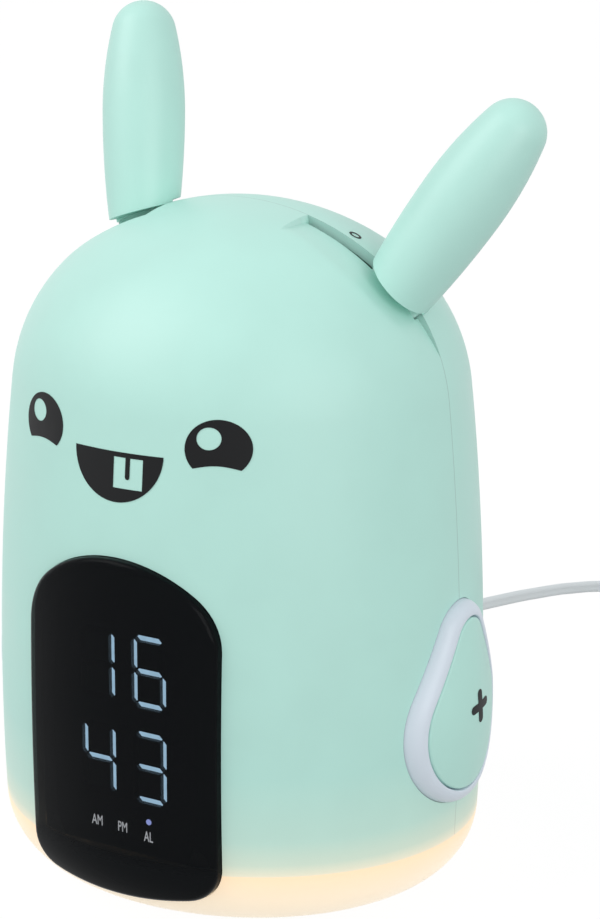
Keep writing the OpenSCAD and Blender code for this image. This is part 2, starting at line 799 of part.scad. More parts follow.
module digits_flat() {
    translate([-digit_x, base_z + hours_h]) digit([0, 1, 1, 0, 0, 0, 0], seat);
    translate([digit_x, base_z + hours_h]) digit([1, 0, 1, 1, 1, 1, 1], seat);
    translate([-digit_x, base_z + minutes_h]) digit([0, 1, 1, 0, 0, 1, 1], seat);
    translate([digit_x, base_z + minutes_h]) digit([1, 1, 1, 1, 0, 0, 1], seat);
}

// The lit segments, each a clear bar in its own opening of the frame
module display_digits() {
    color([0.6, 0.75, 0.85]) translate([0, digit_deep + digit_t - panel_y, 0]) rotate([90, 0, 0])
        linear_extrude(digit_t) digits_flat();
}

module display_frame() {
    color("dimgray") difference() {
        intersection() {
            body_half(lens_deep + fit, true);
            translate([-frame_half, -panel_y, frame_low_z])
                cube([2 * frame_half, panel_y - board_front_y, frame_top_z - frame_low_z]);
            lens_window(frame_in, 0);
        }
        for (x = [-digit_x, digit_x], z = [hours_h, minutes_h]) translate([x, 0, base_z + z])
            rotate([90, 0, 0]) linear_extrude(far) digit([1, 1, 1, 1, 1, 1, 1]);
    }
}

module display_board() {
    color(board_green) difference() {
        translate([-board_half, seat - board_front_y, board_low_z])
            cube([2 * board_half, board_t, board_top_z - board_low_z]);
        for (z = board_post_z) both_sides() rod_y(board_post_x, z, -far, 0, pass_r);
    }
}

module arm_ring() {
    loft(concat(
        [arm_loop(-flange_w, 0, -ring_deep), arm_loop(-flange_w, wall + fit), arm_loop(fit, wall + fit)],
        [for (p = ring_curve) arm_loop(fit + p[0] * (ring_w - fit), 0, p[1] * ring_proud)],
        [arm_loop(ring_w, 0, -ring_deep)]), true);
}

module right_arm_ring() {
    color(ring_white) arm_ring();
}

module left_arm_ring() {
    color(ring_white) mirror([1, 0, 0]) arm_ring();
}

module arm_button() {
    under = -ring_deep - button_slack;
    rise = button_proud - ring_proud;
    back = [for (s = [0.3, 0.65]) arm_loop(flange_inset, 0, under - button_flange_t, s)];
    side = [arm_loop(flange_inset, 0, under - button_flange_t), arm_loop(flange_inset, 0, under),
        arm_loop(button_inset, 0, under), arm_loop(button_inset, 0, ring_proud - 0.4),
        arm_loop(button_inset + 0.15, 0, ring_proud - 0.1),
        arm_loop(button_inset + 0.6, 0, ring_proud + 0.15)];
    crown = [for (s = [0.85, 0.65, 0.4, 0.15])
        arm_loop(button_inset + 0.6, 0, ring_proud + 0.15 + (rise - 0.15) * (1 - s * s), s)];
    loft(concat(back, side, crown));
    rod_x(0, arm_mid_z, plunger_top + button_travel + press_gap,
        half_w + under - button_flange_t / 2, stem_r);
}

module plus_button() {
    color(mint) arm_button();
}

module minus_button() {
    color(mint) mirror([1, 0, 0]) arm_button();
}

module arm_boards() {
    color(board_green) both_sides() difference() {
        translate([arm_board_x - board_t, arm_board_y[0], tray_top + seat])
            cube([board_t, arm_board_y[1] - arm_board_y[0], arm_board_top - tray_top]);
        rod_x(arm_post_y, arm_post_z, 0, far, pass_r);
    }
}

module arm_switches() {
    color(black) both_sides() {
        translate([arm_board_x, -switch_size / 2, arm_mid_z - switch_size / 2])
            cube([switch_h, switch_size, switch_size]);
        rod_x(0, arm_mid_z, arm_board_x, plunger_top, plunger_r);
    }
}

// One ear standing up, with the pivot at the origin
module ear_upright() {
    side_c = [ear_w / 2 - ear_low_r, ear_wide_h];
    top_c = [ear_w / 2 - ear_high_r, ear_wide_h];
    tip_z = ear_wide_h + sqrt(pow(ear_high_r - ear_tip_r, 2) - pow(top_c[0], 2));
    difference() {
        translate([root_r * sin(ear_up), root_y, root_r * cos(ear_up)]) rotate([-ear_back, ear_out, 0])
            rotate_extrude($fn = fine) difference() {
                intersection() {
                    translate(side_c) circle(ear_low_r, $fn = 720);
                    union() {
                        translate(top_c) circle(ear_high_r, $fn = 360);
                        translate([0, -far]) square([far, far + ear_wide_h]);
                    }
                    translate([0, -ear_root_h]) square([far, far]);
                }
                corner([0, tip_z], ear_tip_r, heading([0, tip_z] - top_c), 91);
            }
        translate([-pivot[0], 0, -pivot[2]]) rotate([90, 0, 0])
            linear_extrude(far, center = true) body_outline(-ear_gap);
        rotate([0, ear_up, 0]) translate([0, root_y, root_r]) rotate([-ear_bevel, 0, 0])
            translate([-far / 2, -far, -far]) cube(far);
        blade(fit, fit / 2);
    }
}

// The lever's flat blade: an arm, the neck in the slot and the tongue inside the ear
module blade(grow, thick) {
    ear_plane(blade_y - blade_t / 2 - thick, blade_y + blade_t / 2 + thick) {
        rotate(-ear_up) translate([-arm_w / 2, 0]) square([arm_w, shutter_r]);
        ear_sector(shutter_r - 2, root_r - 0.1, ear_up - neck_a, ear_up + neck_a);
        rotate(-ear_up) translate([-tongue_w / 2 - grow, shutter_r])
            square([tongue_w + 2 * grow, root_r + tongue_l + grow - shutter_r]);
    }
}

module ear_lever() {
    difference() {
        union() {
            blade(0, 0);
            rod_y(0, 0, -hub_front, hub_back, hub_r);
            ear_plane(blade_y - shutter_half, blade_y + shutter_half)
                ear_sector(shutter_r - shutter_t, shutter_r, ear_up - shutter_in, ear_up + shutter_out);
            translate([-tail_w / 2, -hub_front, -tail_l]) cube([tail_w, hub_front + hub_back, tail_l]);
        }
        rod_y(0, 0, -far, far, pivot_r + pivot_gap);
    }
}

// The right ear is folded out and the left one stands up
module right_ear() {
    color(mint) translate(pivot) rotate([0, ear_travel, 0]) ear_upright();
}

module left_ear() {
    color(mint) mirror([1, 0, 0]) translate(pivot) ear_upright();
}

module right_ear_lever() {
    color(mint) translate(pivot) rotate([0, ear_travel, 0]) ear_lever();
}

module left_ear_lever() {
    color(mint) mirror([1, 0, 0]) translate(pivot) ear_lever();
}

module ear_frame() {
    color("white") difference() {
        union() {
            ear_plane(frame_y, frame_y + frame_t) {
                translate([-frame_boss_at[0] - frame_edge, pivot[2] - hub_r])
                    square([2 * (frame_boss_at[0] + frame_edge), frame_high]);
                translate([-pivot[0] - hub_r, ear_switch_z])
                    square([2 * (pivot[0] + hub_r), pivot[2] - ear_switch_z]);
            }
            both_sides() rod_y(pivot[0], pivot[2], -hub_front - hub_play, frame_y + 1, pivot_r);
        }
        both_sides() {
            rod_y(pivot[0], pivot[2], -far, frame_y, bore_r);
            rod_y(frame_boss_at[0], frame_boss_at[1], -far, far, pass_r);
        }
    }
}

// A pan-head screw along Z, its head's underside at the origin and its shank up
module screw(length) {
    cylinder(h = length, r = screw_r);
    translate([0, 0, -head_h]) cylinder(h = head_h, r = head_r);
}

module pivot_screws() {
    color(steel) both_sides() translate([pivot[0], -hub_front - hub_play - seat, pivot[2]])
        rotate([-90, 0, 0]) {
            screw(pivot_screw_l);
            translate([0, 0, -washer_t]) cylinder(h = washer_t, r = washer_r);
        }
}

module ear_switches() {
    color(black) both_sides()
        translate([pivot[0] - ear_switch_size[0] / 2, frame_y - seat - ear_switch_size[1], ear_switch_z])
            cube(ear_switch_size);
}

module main_board() {
    color(board_green) difference() {
        translate([-main_half, board_back_y, main_low_z])
            cube([2 * main_half, board_t, main_top_z - main_low_z]);
        for (p = main_post_at) rod_y(p[0], p[1], 0, far, pass_r);
    }
}

module key_switches() {
    color(black) for (x = key_x) {
        translate([x - switch_size / 2, main_face, key_z - switch_size / 2])
            cube([switch_size, switch_h, switch_size]);
        rod_y(x, key_z, main_face, key_plunger_y, plunger_r);
    }
}

module key(x) {
    face_y = depth_y(x, key_z, 0) + key_proud;
    flange_y = key_flange_y(x);
    rod_y(x, key_z, flange_y - tiny, face_y - key_edge, key_r);
    rod_y(x, key_z, face_y - key_edge - tiny, face_y, key_r - key_edge);
    rod_y(x, key_z, flange_y - key_flange_t, flange_y, key_edge_r);
    rod_y(x, key_z, key_plunger_y + key_travel + press_gap, flange_y, key_stem_r);
}

module light_key() {
    color(mint) key(key_x[0]);
}

module set_key() {
    color(mint) key(key_x[1]);
}

module sound_key() {
    color(mint) key(key_x[2]);
}

module speaker() {
    cone_l = speaker_depth - speaker_rim_t - magnet_t;
    color(black) translate([0, speaker_y, speaker_z]) rotate([90, 0, 0]) {
        cylinder(h = speaker_rim_t, r = speaker_r, $fn = fine);
        translate([0, 0, speaker_rim_t])
            cylinder(h = cone_l, r1 = speaker_r - 2, r2 = speaker_r - 8, $fn = fine);
        translate([0, 0, speaker_rim_t + cone_l]) cylinder(h = magnet_t, r = speaker_r - 6);
    }
}

module housing_screws() {
    color(steel) for (b = boss_at) translate([b[0], screw_seat_y + seat, b[1]]) rotate([90, 0, 0])
        screw(screw_seat_y + screw_in - 2);
}

module base_screws() {
    color(steel) for (p = post_at) translate([p[0], p[1], base_z + head_deep - seat]) screw(base_screw_l);
}

module board_screws() {
    color(steel) {
        for (z = board_post_z) both_sides()
            translate([board_post_x, board_t + 2 * seat - board_front_y, z]) rotate([90, 0, 0])
                screw(board_screw_l);
        for (p = main_post_at) translate([p[0], board_back_y - seat, p[1]]) rotate([-90, 0, 0])
            screw(board_screw_l);
        both_sides() translate([arm_board_x - board_t - seat, arm_post_y, arm_post_z]) rotate([0, 90, 0])
            screw(board_screw_l);
    }
}

module frame_screws() {
    color(steel) both_sides() translate([frame_boss_at[0], frame_y - seat, frame_boss_at[1]])
        rotate([-90, 0, 0]) screw(frame_screw_l);
}

module backup_cell() {
    color(steel) translate([0, 0, cell_z]) cylinder(h = cell_t, r = cell_d / 2);
}

module cell_cover() {
    color([0.93, 0.93, 0.92]) difference() {
        translate([0, 0, base_z]) cylinder(h = cover_t, r = cover_r);
        translate([-coin_slot[0] / 2, -coin_slot[1] / 2, base_z - 1]) cube(coin_slot + [0, 0, 1]);
    }
}

module strain_relief() {
    flange_y = depth_y(outlet_x + relief_flange_r, outlet_z, wall) - fit;
    color(cord_grey) {
        rod_y(outlet_x, outlet_z, flange_y - relief_flange_t, flange_y, relief_flange_r);
        rod_y(outlet_x, outlet_z, flange_y - tiny, outlet_y + 1, relief_r);
        translate([outlet_x, outlet_y + 1, outlet_z]) rotate([-90, 0, 0])
            cylinder(h = relief_l - 1, r1 = relief_r, r2 = relief_end_r);
    }
}

// A tube swept along a route that stays nearly level
module tube(route, r, sides) {
    last = len(route) - 1;
    loft([for (i = [0 : last])
        let (t = route[min(i + 1, last)] - route[max(i - 1, 0)], u = t / norm(t),
            s = cross(u, [0, 0, 1]) / norm(cross(u, [0, 0, 1])), w = cross(s, u))
        [for (j = [0 : sides - 1]) let (a = 360 * (j + 0.5) / sides)
            route[i] + r * (sin(a) * s + cos(a) * w)]]);
}

module cord() {
    color(cord_grey) tube(cord_route, cord_r, cord_sides);
}

module cord_tail() {
    color(cord_grey) tube(tail_route, cord_r, cord_sides);
}

module cord_coil() {
    color(cord_grey) translate(coil_c) rotate_extrude($fn = fine)
        translate([coil_r - coil_wide / 2, 0]) square([coil_wide, coil_high]);
}

module plug_body() {
    color(cord_grey) translate(plug_end - [plug_body_size[0] / 2, plug_body_size[1], plug_body_size[2] / 2])
        cube(plug_body_size);
}

module plug_shell() {
    color(steel) translate(plug_end - [plug_w / 2, plug_body_size[1] + seat + plug_shell_l, plug_t / 2])
        difference() {
            cube([plug_w, plug_shell_l, plug_t]);
            translate([plug_sheet, -1, plug_sheet])
                cube([plug_w - 2 * plug_sheet, plug_shell_l - 1, plug_t / 2]);
        }
}

front_shell();
rear_shell();
night_light_base();
base_plate();
rubber_feet();
light_tray();
light_board();
light_lamps();
display_lens();
display_digits();
display_frame();
display_board();
right_arm_ring();
left_arm_ring();
plus_button();
minus_button();
arm_boards();
arm_switches();
right_ear();
left_ear();
right_ear_lever();
left_ear_lever();
ear_frame();
pivot_screws();
ear_switches();
main_board();
key_switches();
light_key();
set_key();
sound_key();
speaker();
housing_screws();
base_screws();
board_screws();
frame_screws();
backup_cell();
cell_cover();
strain_relief();
cord();
cord_coil();
cord_tail();
plug_body();
plug_shell();
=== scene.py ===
import math
import bmesh
import bpy
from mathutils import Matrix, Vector


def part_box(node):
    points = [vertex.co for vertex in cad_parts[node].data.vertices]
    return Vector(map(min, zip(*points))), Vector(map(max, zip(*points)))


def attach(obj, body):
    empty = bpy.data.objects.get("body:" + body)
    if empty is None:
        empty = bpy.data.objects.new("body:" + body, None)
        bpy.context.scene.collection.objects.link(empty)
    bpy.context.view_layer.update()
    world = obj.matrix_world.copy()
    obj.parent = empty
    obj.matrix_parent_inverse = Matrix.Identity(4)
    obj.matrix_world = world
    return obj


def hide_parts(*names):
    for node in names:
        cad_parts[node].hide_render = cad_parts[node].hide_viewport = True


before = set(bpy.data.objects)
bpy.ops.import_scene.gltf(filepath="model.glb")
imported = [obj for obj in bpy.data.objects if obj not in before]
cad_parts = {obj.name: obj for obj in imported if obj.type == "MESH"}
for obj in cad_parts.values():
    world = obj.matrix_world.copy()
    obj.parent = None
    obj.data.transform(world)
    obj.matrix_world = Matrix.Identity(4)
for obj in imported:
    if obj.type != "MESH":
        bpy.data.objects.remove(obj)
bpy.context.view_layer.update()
MM = 0.001

# %% [markdown]
# # The camera
# The clock is seen from its front and right side, a little from above, so the camera stands 56 cm
# away and looks down by 16.5 degrees. A long lens keeps the ears from leaning. A small shift
# frames the clock off centre without turning the camera, which would tilt the upright lines of the
# body.

# %% Camera
AIM = Vector((0, 0, 77.8 * MM))
TOWARDS_CAMERA = Vector((0.5097, -0.8121, 0.2839))
CAMERA_AWAY, CAMERA_TILT, CAMERA_TURN = 0.5579, 73.505, 32.11
FOCAL_LENGTH, SENSOR_WIDE, SHIFT = 99.27, 36, (0.0644, 0.0627)

bpy.ops.object.select_all(action="DESELECT")
bpy.ops.object.camera_add(location=AIM + CAMERA_AWAY * TOWARDS_CAMERA,
                          rotation=(math.radians(CAMERA_TILT), 0, math.radians(CAMERA_TURN)))
camera = bpy.context.object
camera.name = "clock_camera"
camera.data.lens, camera.data.sensor_width = FOCAL_LENGTH, SENSOR_WIDE
camera.data.shift_x, camera.data.shift_y = SHIFT
camera.data.clip_start = 0.01
bpy.context.scene.camera = camera
bpy.context.scene.view_settings.view_transform = "Standard"
print("camera at", [round(v, 3) for v in camera.location])

# %% [markdown]
# # Working by hand, in code
# Every new piece starts as a primitive, is shaped in edit mode, and gets modifiers that are
# applied at once. Blender's operators act on whatever is selected, so a few small helpers clear
# the selection, pick faces by their place, and apply a modifier. Sizes are written in millimetres,
# and MM turns them into Blender's metres.

# %% Helpers for selecting and finishing
AXES = [Vector((1, 0, 0)), Vector((0, 1, 0)), Vector((0, 0, 1))]
SAME_POINT = 1e-6


def clear():
    """Leaves edit mode and deselects everything."""
    if bpy.context.object and bpy.context.object.mode != "OBJECT":
        bpy.ops.object.mode_set(mode="OBJECT")
    bpy.ops.object.select_all(action="DESELECT")


def take(piece):
    """Selects one piece alone and makes it active, in object mode."""
    clear()
    piece.select_set(True)
    bpy.context.view_layer.objects.active = piece
    return piece


def edit(piece):
    """Opens one piece alone in edit mode."""
    take(piece)
    bpy.ops.object.mode_set(mode="EDIT")


def start(name):
    """Names the piece that was just made."""
    piece = bpy.context.object
    piece.name = piece.data.name = name
    return piece


def pick(test):
    """In edit mode, selects the faces whose middle, in millimetres, and facing pass a test."""
    bpy.ops.mesh.select_mode(type="FACE")
    bpy.ops.mesh.select_all(action="DESELECT")
    mesh = bmesh.from_edit_mesh(bpy.context.object.data)
    for face in mesh.faces:
        middle = sum((v.co for v in face.verts), Vector()) / len(face.verts) / MM
        if test(middle, face.normal):
            face.select_set(True)
    bmesh.update_edit_mesh(bpy.context.object.data)


def bisect(at, axis):
    """In edit mode, cuts what is selected straight across an axis."""
    point, normal = [0, 0, 0], [0, 0, 0]
    point[axis], normal[axis] = at * MM, 1
    bpy.ops.mesh.bisect(plane_co=point, plane_no=normal)


def apply(piece, kind, **settings):
    """Adds a modifier, sets it and applies it."""
    take(piece)
    bpy.ops.object.modifier_add(type=kind)
    modifier = piece.modifiers[-1]
    for key, value in settings.items():
        setattr(modifier, key, value)
    bpy.ops.object.modifier_apply(modifier=modifier.name)
    return piece


def cut(piece, cutter):
    """Cuts a cutter's shape out of a piece, and removes the cutter."""
    apply(piece, "BOOLEAN", operation="DIFFERENCE", solver="EXACT", object=cutter)
    bpy.data.objects.remove(cutter)


def moved(piece, x, y, z):
    """Moves a piece in its own mesh."""
    take(piece)
    bpy.ops.transform.translate(value=(x * MM, y * MM, z * MM))
    bpy.ops.object.transform_apply(location=True, rotation=False, scale=False)
    return piece


def turned(piece, x=0, y=0, z=0):
    """Turns a piece in its own mesh, by degrees about the origin."""
    take(piece)
    piece.rotation_euler = [math.radians(angle) for angle in (x, y, z)]
    bpy.ops.object.transform_apply(location=False, rotation=True, scale=False)
    return piece


def settle(piece, angle=30):
    """Puts a piece's place into its mesh, and shades it smooth but for its sharp edges."""
    take(piece)
    bpy.ops.object.transform_apply(location=True, rotation=True, scale=True)
    bpy.ops.object.shade_smooth_by_angle(angle=math.radians(angle))
    return piece


def welded(piece, outwards=True):
    """Merges a piece's doubles, and turns all its faces outwards."""
    edit(piece)
    bpy.ops.mesh.select_all(action="SELECT")
    bpy.ops.mesh.remove_doubles(threshold=SAME_POINT)
    if outwards:
        bpy.ops.mesh.normals_make_consistent(inside=False)
    bpy.ops.object.mode_set(mode="OBJECT")
    return piece


def join(name, pieces):
    """Joins pieces into one mesh."""
    take(pieces[0])
    for piece in pieces[1:]:
        piece.select_set(True)
    bpy.ops.object.join()
    return start(name)


def twin(piece, name):
    """A copy of a piece, with a mesh of its own."""
    take(piece)
    bpy.ops.object.duplicate(linked=False)
    return start(name)


def coat(piece, material):
    """Gives a piece, or a CAD node that stays, its material."""
    piece.data.materials.clear()
    piece.data.materials.append(material)


def dress(piece, body, slot, material, *nodes):
    """Gives a piece its finish and its body, and hides the CAD nodes that it stands for."""
    coat(piece, material)
    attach(piece, body)
    if nodes:
        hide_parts(*nodes)
    return piece


print("helpers ready")

# %% [markdown]
# # The outline of the body
# The body is a stack of arcs that run into each other, a foot, a long barrel curve, a shoulder and
# a crown, turned about the upright axis and pressed a little flat from front to back. The same
# numbers as in the CAD source give the surface at any height, so the lens, the rings and the
# printed face can follow it exactly.

# %% Numbers of the outline, in millimetres
LIFT = 0.8
HALF, HEIGHT, FLAT = 55.0, 147.9, 99.8 / 110
FOOT_R, WALL_R, SHOULDER_R, CROWN_R = 15.1, 625.0, 39.4, 60.2
FOOT_UP, WALL_UP = 14.6, 37.6
WALL_C = (HALF - WALL_R, LIFT + WALL_UP)
CROWN_C = (0.0, LIFT + HEIGHT - CROWN_R)
FOOT_C = (WALL_C[0] + math.sqrt((WALL_R - FOOT_R) ** 2 - (WALL_UP - FOOT_UP) ** 2), LIFT + FOOT_UP)
SEAM_Z = LIFT + 13.9


def crossing(a, ra, b, rb):
    """Where two circles cross, to the right of the line from a to b."""
    d = math.dist(a, b)
    t = (d * d + ra * ra - rb * rb) / (2 * d)
    u = ((b[0] - a[0]) / d, (b[1] - a[1]) / d)
    s = math.sqrt(ra * ra - t * t)
    return (a[0] + t * u[0] + s * u[1], a[1] + t * u[1] - s * u[0])


def on_circle(centre, r, angle):
    """The point of a circle at an angle in degrees."""
    t = math.radians(angle)
    return (centre[0] + r * math.cos(t), centre[1] + r * math.sin(t))


SHOULDER_C = crossing(CROWN_C, CROWN_R - SHOULDER_R, WALL_C, WALL_R - SHOULDER_R)
FOOT_A = math.atan2(FOOT_C[1] - WALL_C[1], FOOT_C[0] - WALL_C[0])
WALL_A = math.atan2(SHOULDER_C[1] - WALL_C[1], SHOULDER_C[0] - WALL_C[0])
CROWN_A = math.atan2(SHOULDER_C[1] - CROWN_C[1], SHOULDER_C[0] - CROWN_C[0])


def arc_at(z, out=0.0):
    """Centre and radius of the outline's arc at height z, and the outline's own radius there."""
    if z < FOOT_C[1] + (FOOT_R + out) * math.sin(FOOT_A):
        c, r = FOOT_C, FOOT_R
    elif z < SHOULDER_C[1] + (SHOULDER_R + out) * math.sin(WALL_A):
        c, r = WALL_C, WALL_R
    elif z < SHOULDER_C[1] + (SHOULDER_R + out) * math.sin(CROWN_A):
        c, r = SHOULDER_C, SHOULDER_R
    else:
        c, r = CROWN_C, CROWN_R
    return c, r, c[0] + math.sqrt(max((r + out) ** 2 - (z - c[1]) ** 2, 0))


def front_y(x, z, out):
    """The body's front surface, out millimetres proud of it."""
    return -FLAT * math.sqrt(max(arc_at(z, out)[2] ** 2 - x * x, 0))


def side_x(y, z):
    """The surface of the body's right side."""
    return math.sqrt(max(arc_at(z)[2] ** 2 - (y / FLAT) ** 2, 0))


print("ear pivots at", [round(v, 3) for v in SHOULDER_C])

# %% [markdown]
# # The supply cord
# A thin twin lead with a groove between its two strands leaves the back through a strain relief,
# sags to the table and ends in a USB plug. It is one tube, whose loops are kept upright along
# points a few millimetres apart; the spare length lies in a neat round coil of three by four
# turns. Each turn steps into the next place a little earlier than the turn before it, so that no
# two turns meet. A bevelled curve would be quicker, but it could let the groove twist.

# %% Route of the lead, in millimetres
LEAD_ROUTE = [(12, 61, 38.1), (12.3, 68, 37.4), (12.6, 76, 36.4), (13, 84, 35.1), (13.4, 92, 33.8),
              (13.7, 100, 32.5), (14, 108, 31.2), (14, 116, 29.7), (14, 124, 28.1),
              (14, 132, 26.5), (14, 140, 24.8), (14, 148, 22.9), (14, 156, 21), (14, 164, 18.9),
              (14, 172, 16.6), (14, 180, 14.2), (14.2, 188, 11.6), (14.6, 196, 8.9),
              (15.2, 204, 6.2), (16.4, 212, 3.8), (18.6, 219, 2.4), (23, 225, 1.8),
              (29, 228.8, 1.7), (36, 229.4, 1.7), (42.6, 227.2, 1.8)]
LEAD_TAIL = [(66.3, 203, 4.9), (66.1, 197, 4.4), (66, 190, 4), (66, 184, 4)]
LEAD_WIDE = 3.1
COIL_AT = (44, 205)
COIL_R, COIL_LOW = 18.5, 2.05
COIL_START, COIL_END, COIL_EVERY = 93.6, 4053.6, 8
STEP_FIRST, STEP_EVERY, STEP_LONG = 320, 340.4, 40
LEAD_IN, IN_WIDER, IN_LOWER, LEAD_OUT = 60, 0.64, 0.25, 15
COIL_PLACES = [(1, 0), (0, 0), (-1, 0), (-1, 1), (0, 1), (0, 2), (-1, 2), (-1, 3), (0, 3), (1, 3),
               (1, 2), (1, 1)]


def ease(t):
    """A smooth step from nought to one."""
    t = min(max(t, 0.0), 1.0)
    return t * t * (3 - 2 * t)


def coil_point(angle):
    """A point of the coil, some degrees after its start, as its places are taken one by one."""
    column, row = COIL_PLACES[0]
    for k, (here, there) in enumerate(zip(COIL_PLACES, COIL_PLACES[1:])):
        step = ease((angle - STEP_FIRST - STEP_EVERY * k) / STEP_LONG)
        column += step * (there[0] - here[0])
        row += step * (there[1] - here[1])
    entering = 1 - ease(angle / LEAD_IN)
    r = COIL_R + LEAD_WIDE * column + IN_WIDER * entering
    z = COIL_LOW + LEAD_WIDE * row - IN_LOWER * entering
    leaves = COIL_END - LEAD_OUT
    if angle > leaves:
        r /= math.cos(math.radians(angle - leaves))
    return on_circle(COIL_AT, r, COIL_START - angle) + (z,)


def smoothed(points, parts):
    """A smooth line through the points, each stretch cut into a few parts."""
    ends = [points[0]] + points + [points[-1]]
    line = []
    for i in range(1, len(ends) - 2):
        a, b, c, d = (Vector(p) for p in ends[i - 1:i + 3])
        for j in range(parts):
            t = j / parts
            line.append(0.5 * (2 * b + (c - a) * t + (2 * a - 5 * b + 4 * c - d) * t * t
                               + (3 * b - a - 3 * c + d) * t ** 3))
    return line + [Vector(points[-1])]


turns = [Vector(coil_point(COIL_EVERY * k)) for k in range(1, int(COIL_END / COIL_EVERY) + 1)]
lead_line = smoothed(LEAD_ROUTE, 3)[:-1] + turns + smoothed(LEAD_TAIL, 2)


# %% Skins made loop by loop
def skin(name, loops, ring=False):
    """A circle of vertices is moved onto the first loop and extruded onto each of the next. Both
    ends are capped, or in a ring the last loop comes back onto the first."""
    clear()
    bpy.ops.mesh.primitive_circle_add(vertices=len(loops[0]), radius=MM)
    piece = start(name)
    bpy.ops.object.mode_set(mode="EDIT")
    bpy.ops.mesh.select_mode(type="VERT")
    bpy.ops.mesh.select_all(action="SELECT")
    order = list(range(len(loops[0])))
    for k, loop in enumerate(loops + ([loops[0]] if ring else [])):
        if k:
            bpy.ops.mesh.extrude_edges_move()
        mesh = bmesh.from_edit_mesh(piece.data)
        mesh.verts.ensure_lookup_table()
        if k:
            old = [mesh.verts[i] for i in order]
            joined = [[edge.other_vert(v) for edge in v.link_edges] for v in old]
            order = [next(v.index for v in others if v.select) for others in joined]
        for i, point in zip(order, loop):
            mesh.verts[i].co = Vector(point) * MM
        bmesh.update_edit_mesh(piece.data)
    if not ring:
        bpy.ops.mesh.select_all(action="DESELECT")
        bpy.ops.mesh.select_non_manifold()
        bpy.ops.mesh.fill_holes(sides=0)
    return welded(piece)


# %% The twin lead
STRAND_R, STRAND_UP, STRAND_SIDES = 0.93, 0.62, 8


def twin_section():
    """Outline of two strands, one above the other: across and up."""
    waist = math.asin(STRAND_UP / STRAND_R)
    outline = []
    for up, first in ((STRAND_UP, -waist), (-STRAND_UP, math.pi - waist)):
        for k in range(STRAND_SIDES):
            a = first + (math.pi + 2 * waist) * k / STRAND_SIDES
            outline.append((STRAND_R * math.cos(a), up + STRAND_R * math.sin(a)))
    return outline


def swept(line, section):
    """Loops of a section carried along a line that stays nearly level."""
    loops = []
    for i, point in enumerate(line):
        ahead = (line[min(i + 1, len(line) - 1)] - line[max(i - 1, 0)]).normalized()
        across = ahead.cross(AXES[2]).normalized()
        up = across.cross(ahead)
        loops.append([point + across * a + up * b for a, b in section])
    return loops


supply_lead = settle(skin("supply_lead", swept(lead_line, twin_section())), 60)
print("supply lead:", len(supply_lead.data.polygons), "faces")

# %% [markdown]
# # Satin plastic
# Most of the clock is injection-moulded plastic with a fine satin grain, eroded into the mould. A
# very small noise gives the grain as a bump, and a broad one varies the colour and the gloss a
# little, as cooling plastic does. All patterns use object coordinates, so they stay on the piece
# in every view.

# %% Material helpers
def tone(red, green, blue):
    """A colour given as on screen, as the linear values that a shader needs."""
    return tuple((v / 255 / 12.92 if v < 10 else ((v / 255 + 0.055) / 1.055) ** 2.4)
                 for v in (red, green, blue)) + (1.0,)


def grey(value):
    return (value, value, value, 1)


def shaded(colour, share):
    """A colour made darker."""
    return tuple(v * share for v in colour[:3]) + (1.0,)


def link(tree, *pairs):
    for source, target in pairs:
        tree.links.new(source, target)


def set_sockets(node, **values):
    """Sets a node's sockets by their names, with _ for a space."""
    for socket, value in values.items():
        node.inputs[socket.replace("_", " ")].default_value = value


def shader_of(material):
    """A material's node tree and its shader."""
    return material.node_tree, material.node_tree.nodes["Principled BSDF"]


def object_place(tree):
    return tree.nodes.new("ShaderNodeTexCoord").outputs["Object"]


def split_place(tree):
    """The X, Y and Z of a point on the piece, in metres."""
    where = object_place(tree)
    split = tree.nodes.new("ShaderNodeSeparateXYZ")
    link(tree, (where, split.inputs["Vector"]))
    return split.outputs


def noise(tree, where, size, detail=2.0):
    """A noise with features of a size in millimetres."""
    node = tree.nodes.new("ShaderNodeTexNoise")
    set_sockets(node, Scale=1 / (size * MM), Detail=detail)
    link(tree, (where, node.inputs["Vector"]))
    return node.outputs["Fac"]


def ramp(tree, value, *stops):
    """A colour ramp with stops of place and colour."""
    node = tree.nodes.new("ShaderNodeValToRGB")
    while len(node.color_ramp.elements) < len(stops):
        node.color_ramp.elements.new(0.5)
    for element, (place, colour) in zip(node.color_ramp.elements, stops):
        element.position = place
        element.color = colour
    link(tree, (value, node.inputs["Fac"]))
    return node.outputs["Color"]


def spread(tree, value, low, high, start=0.0, end=1.0):
    """Maps a value from one range to another, clamped."""
    node = tree.nodes.new("ShaderNodeMapRange")
    set_sockets(node, From_Min=start, From_Max=end, To_Min=low, To_Max=high)
    link(tree, (value, node.inputs["Value"]))
    return node.outputs["Result"]


BROAD, GRAIN_STRENGTH, GLOSS_VARIES = 14, 0.35, 0.05


def moulded(name, colour, rough, grain=0.3, height=0.03, mottle=0.03, **uniform):
    """A moulded finish: fine grain, slightly uneven gloss and colour, and any uniform sockets."""
    material = bpy.data.materials.new(name)
    material.use_nodes = True
    tree, shader = shader_of(material)
    where = object_place(tree)
    broad = noise(tree, where, BROAD)
    bump = tree.nodes.new("ShaderNodeBump")
    set_sockets(bump, Strength=GRAIN_STRENGTH, Distance=height * MM)
    gloss = (rough - GLOSS_VARIES, rough + GLOSS_VARIES)
    link(tree, (noise(tree, where, grain, 3.0), bump.inputs["Height"]),
         (bump.outputs["Normal"], shader.inputs["Normal"]),
         (spread(tree, broad, *gloss, 0.3, 0.7), shader.inputs["Roughness"]),
         (ramp(tree, broad, (0.3, shaded(colour, 1 - mottle)), (0.7, colour)),
          shader.inputs["Base Color"]))
    set_sockets(shader, **uniform)
    return material


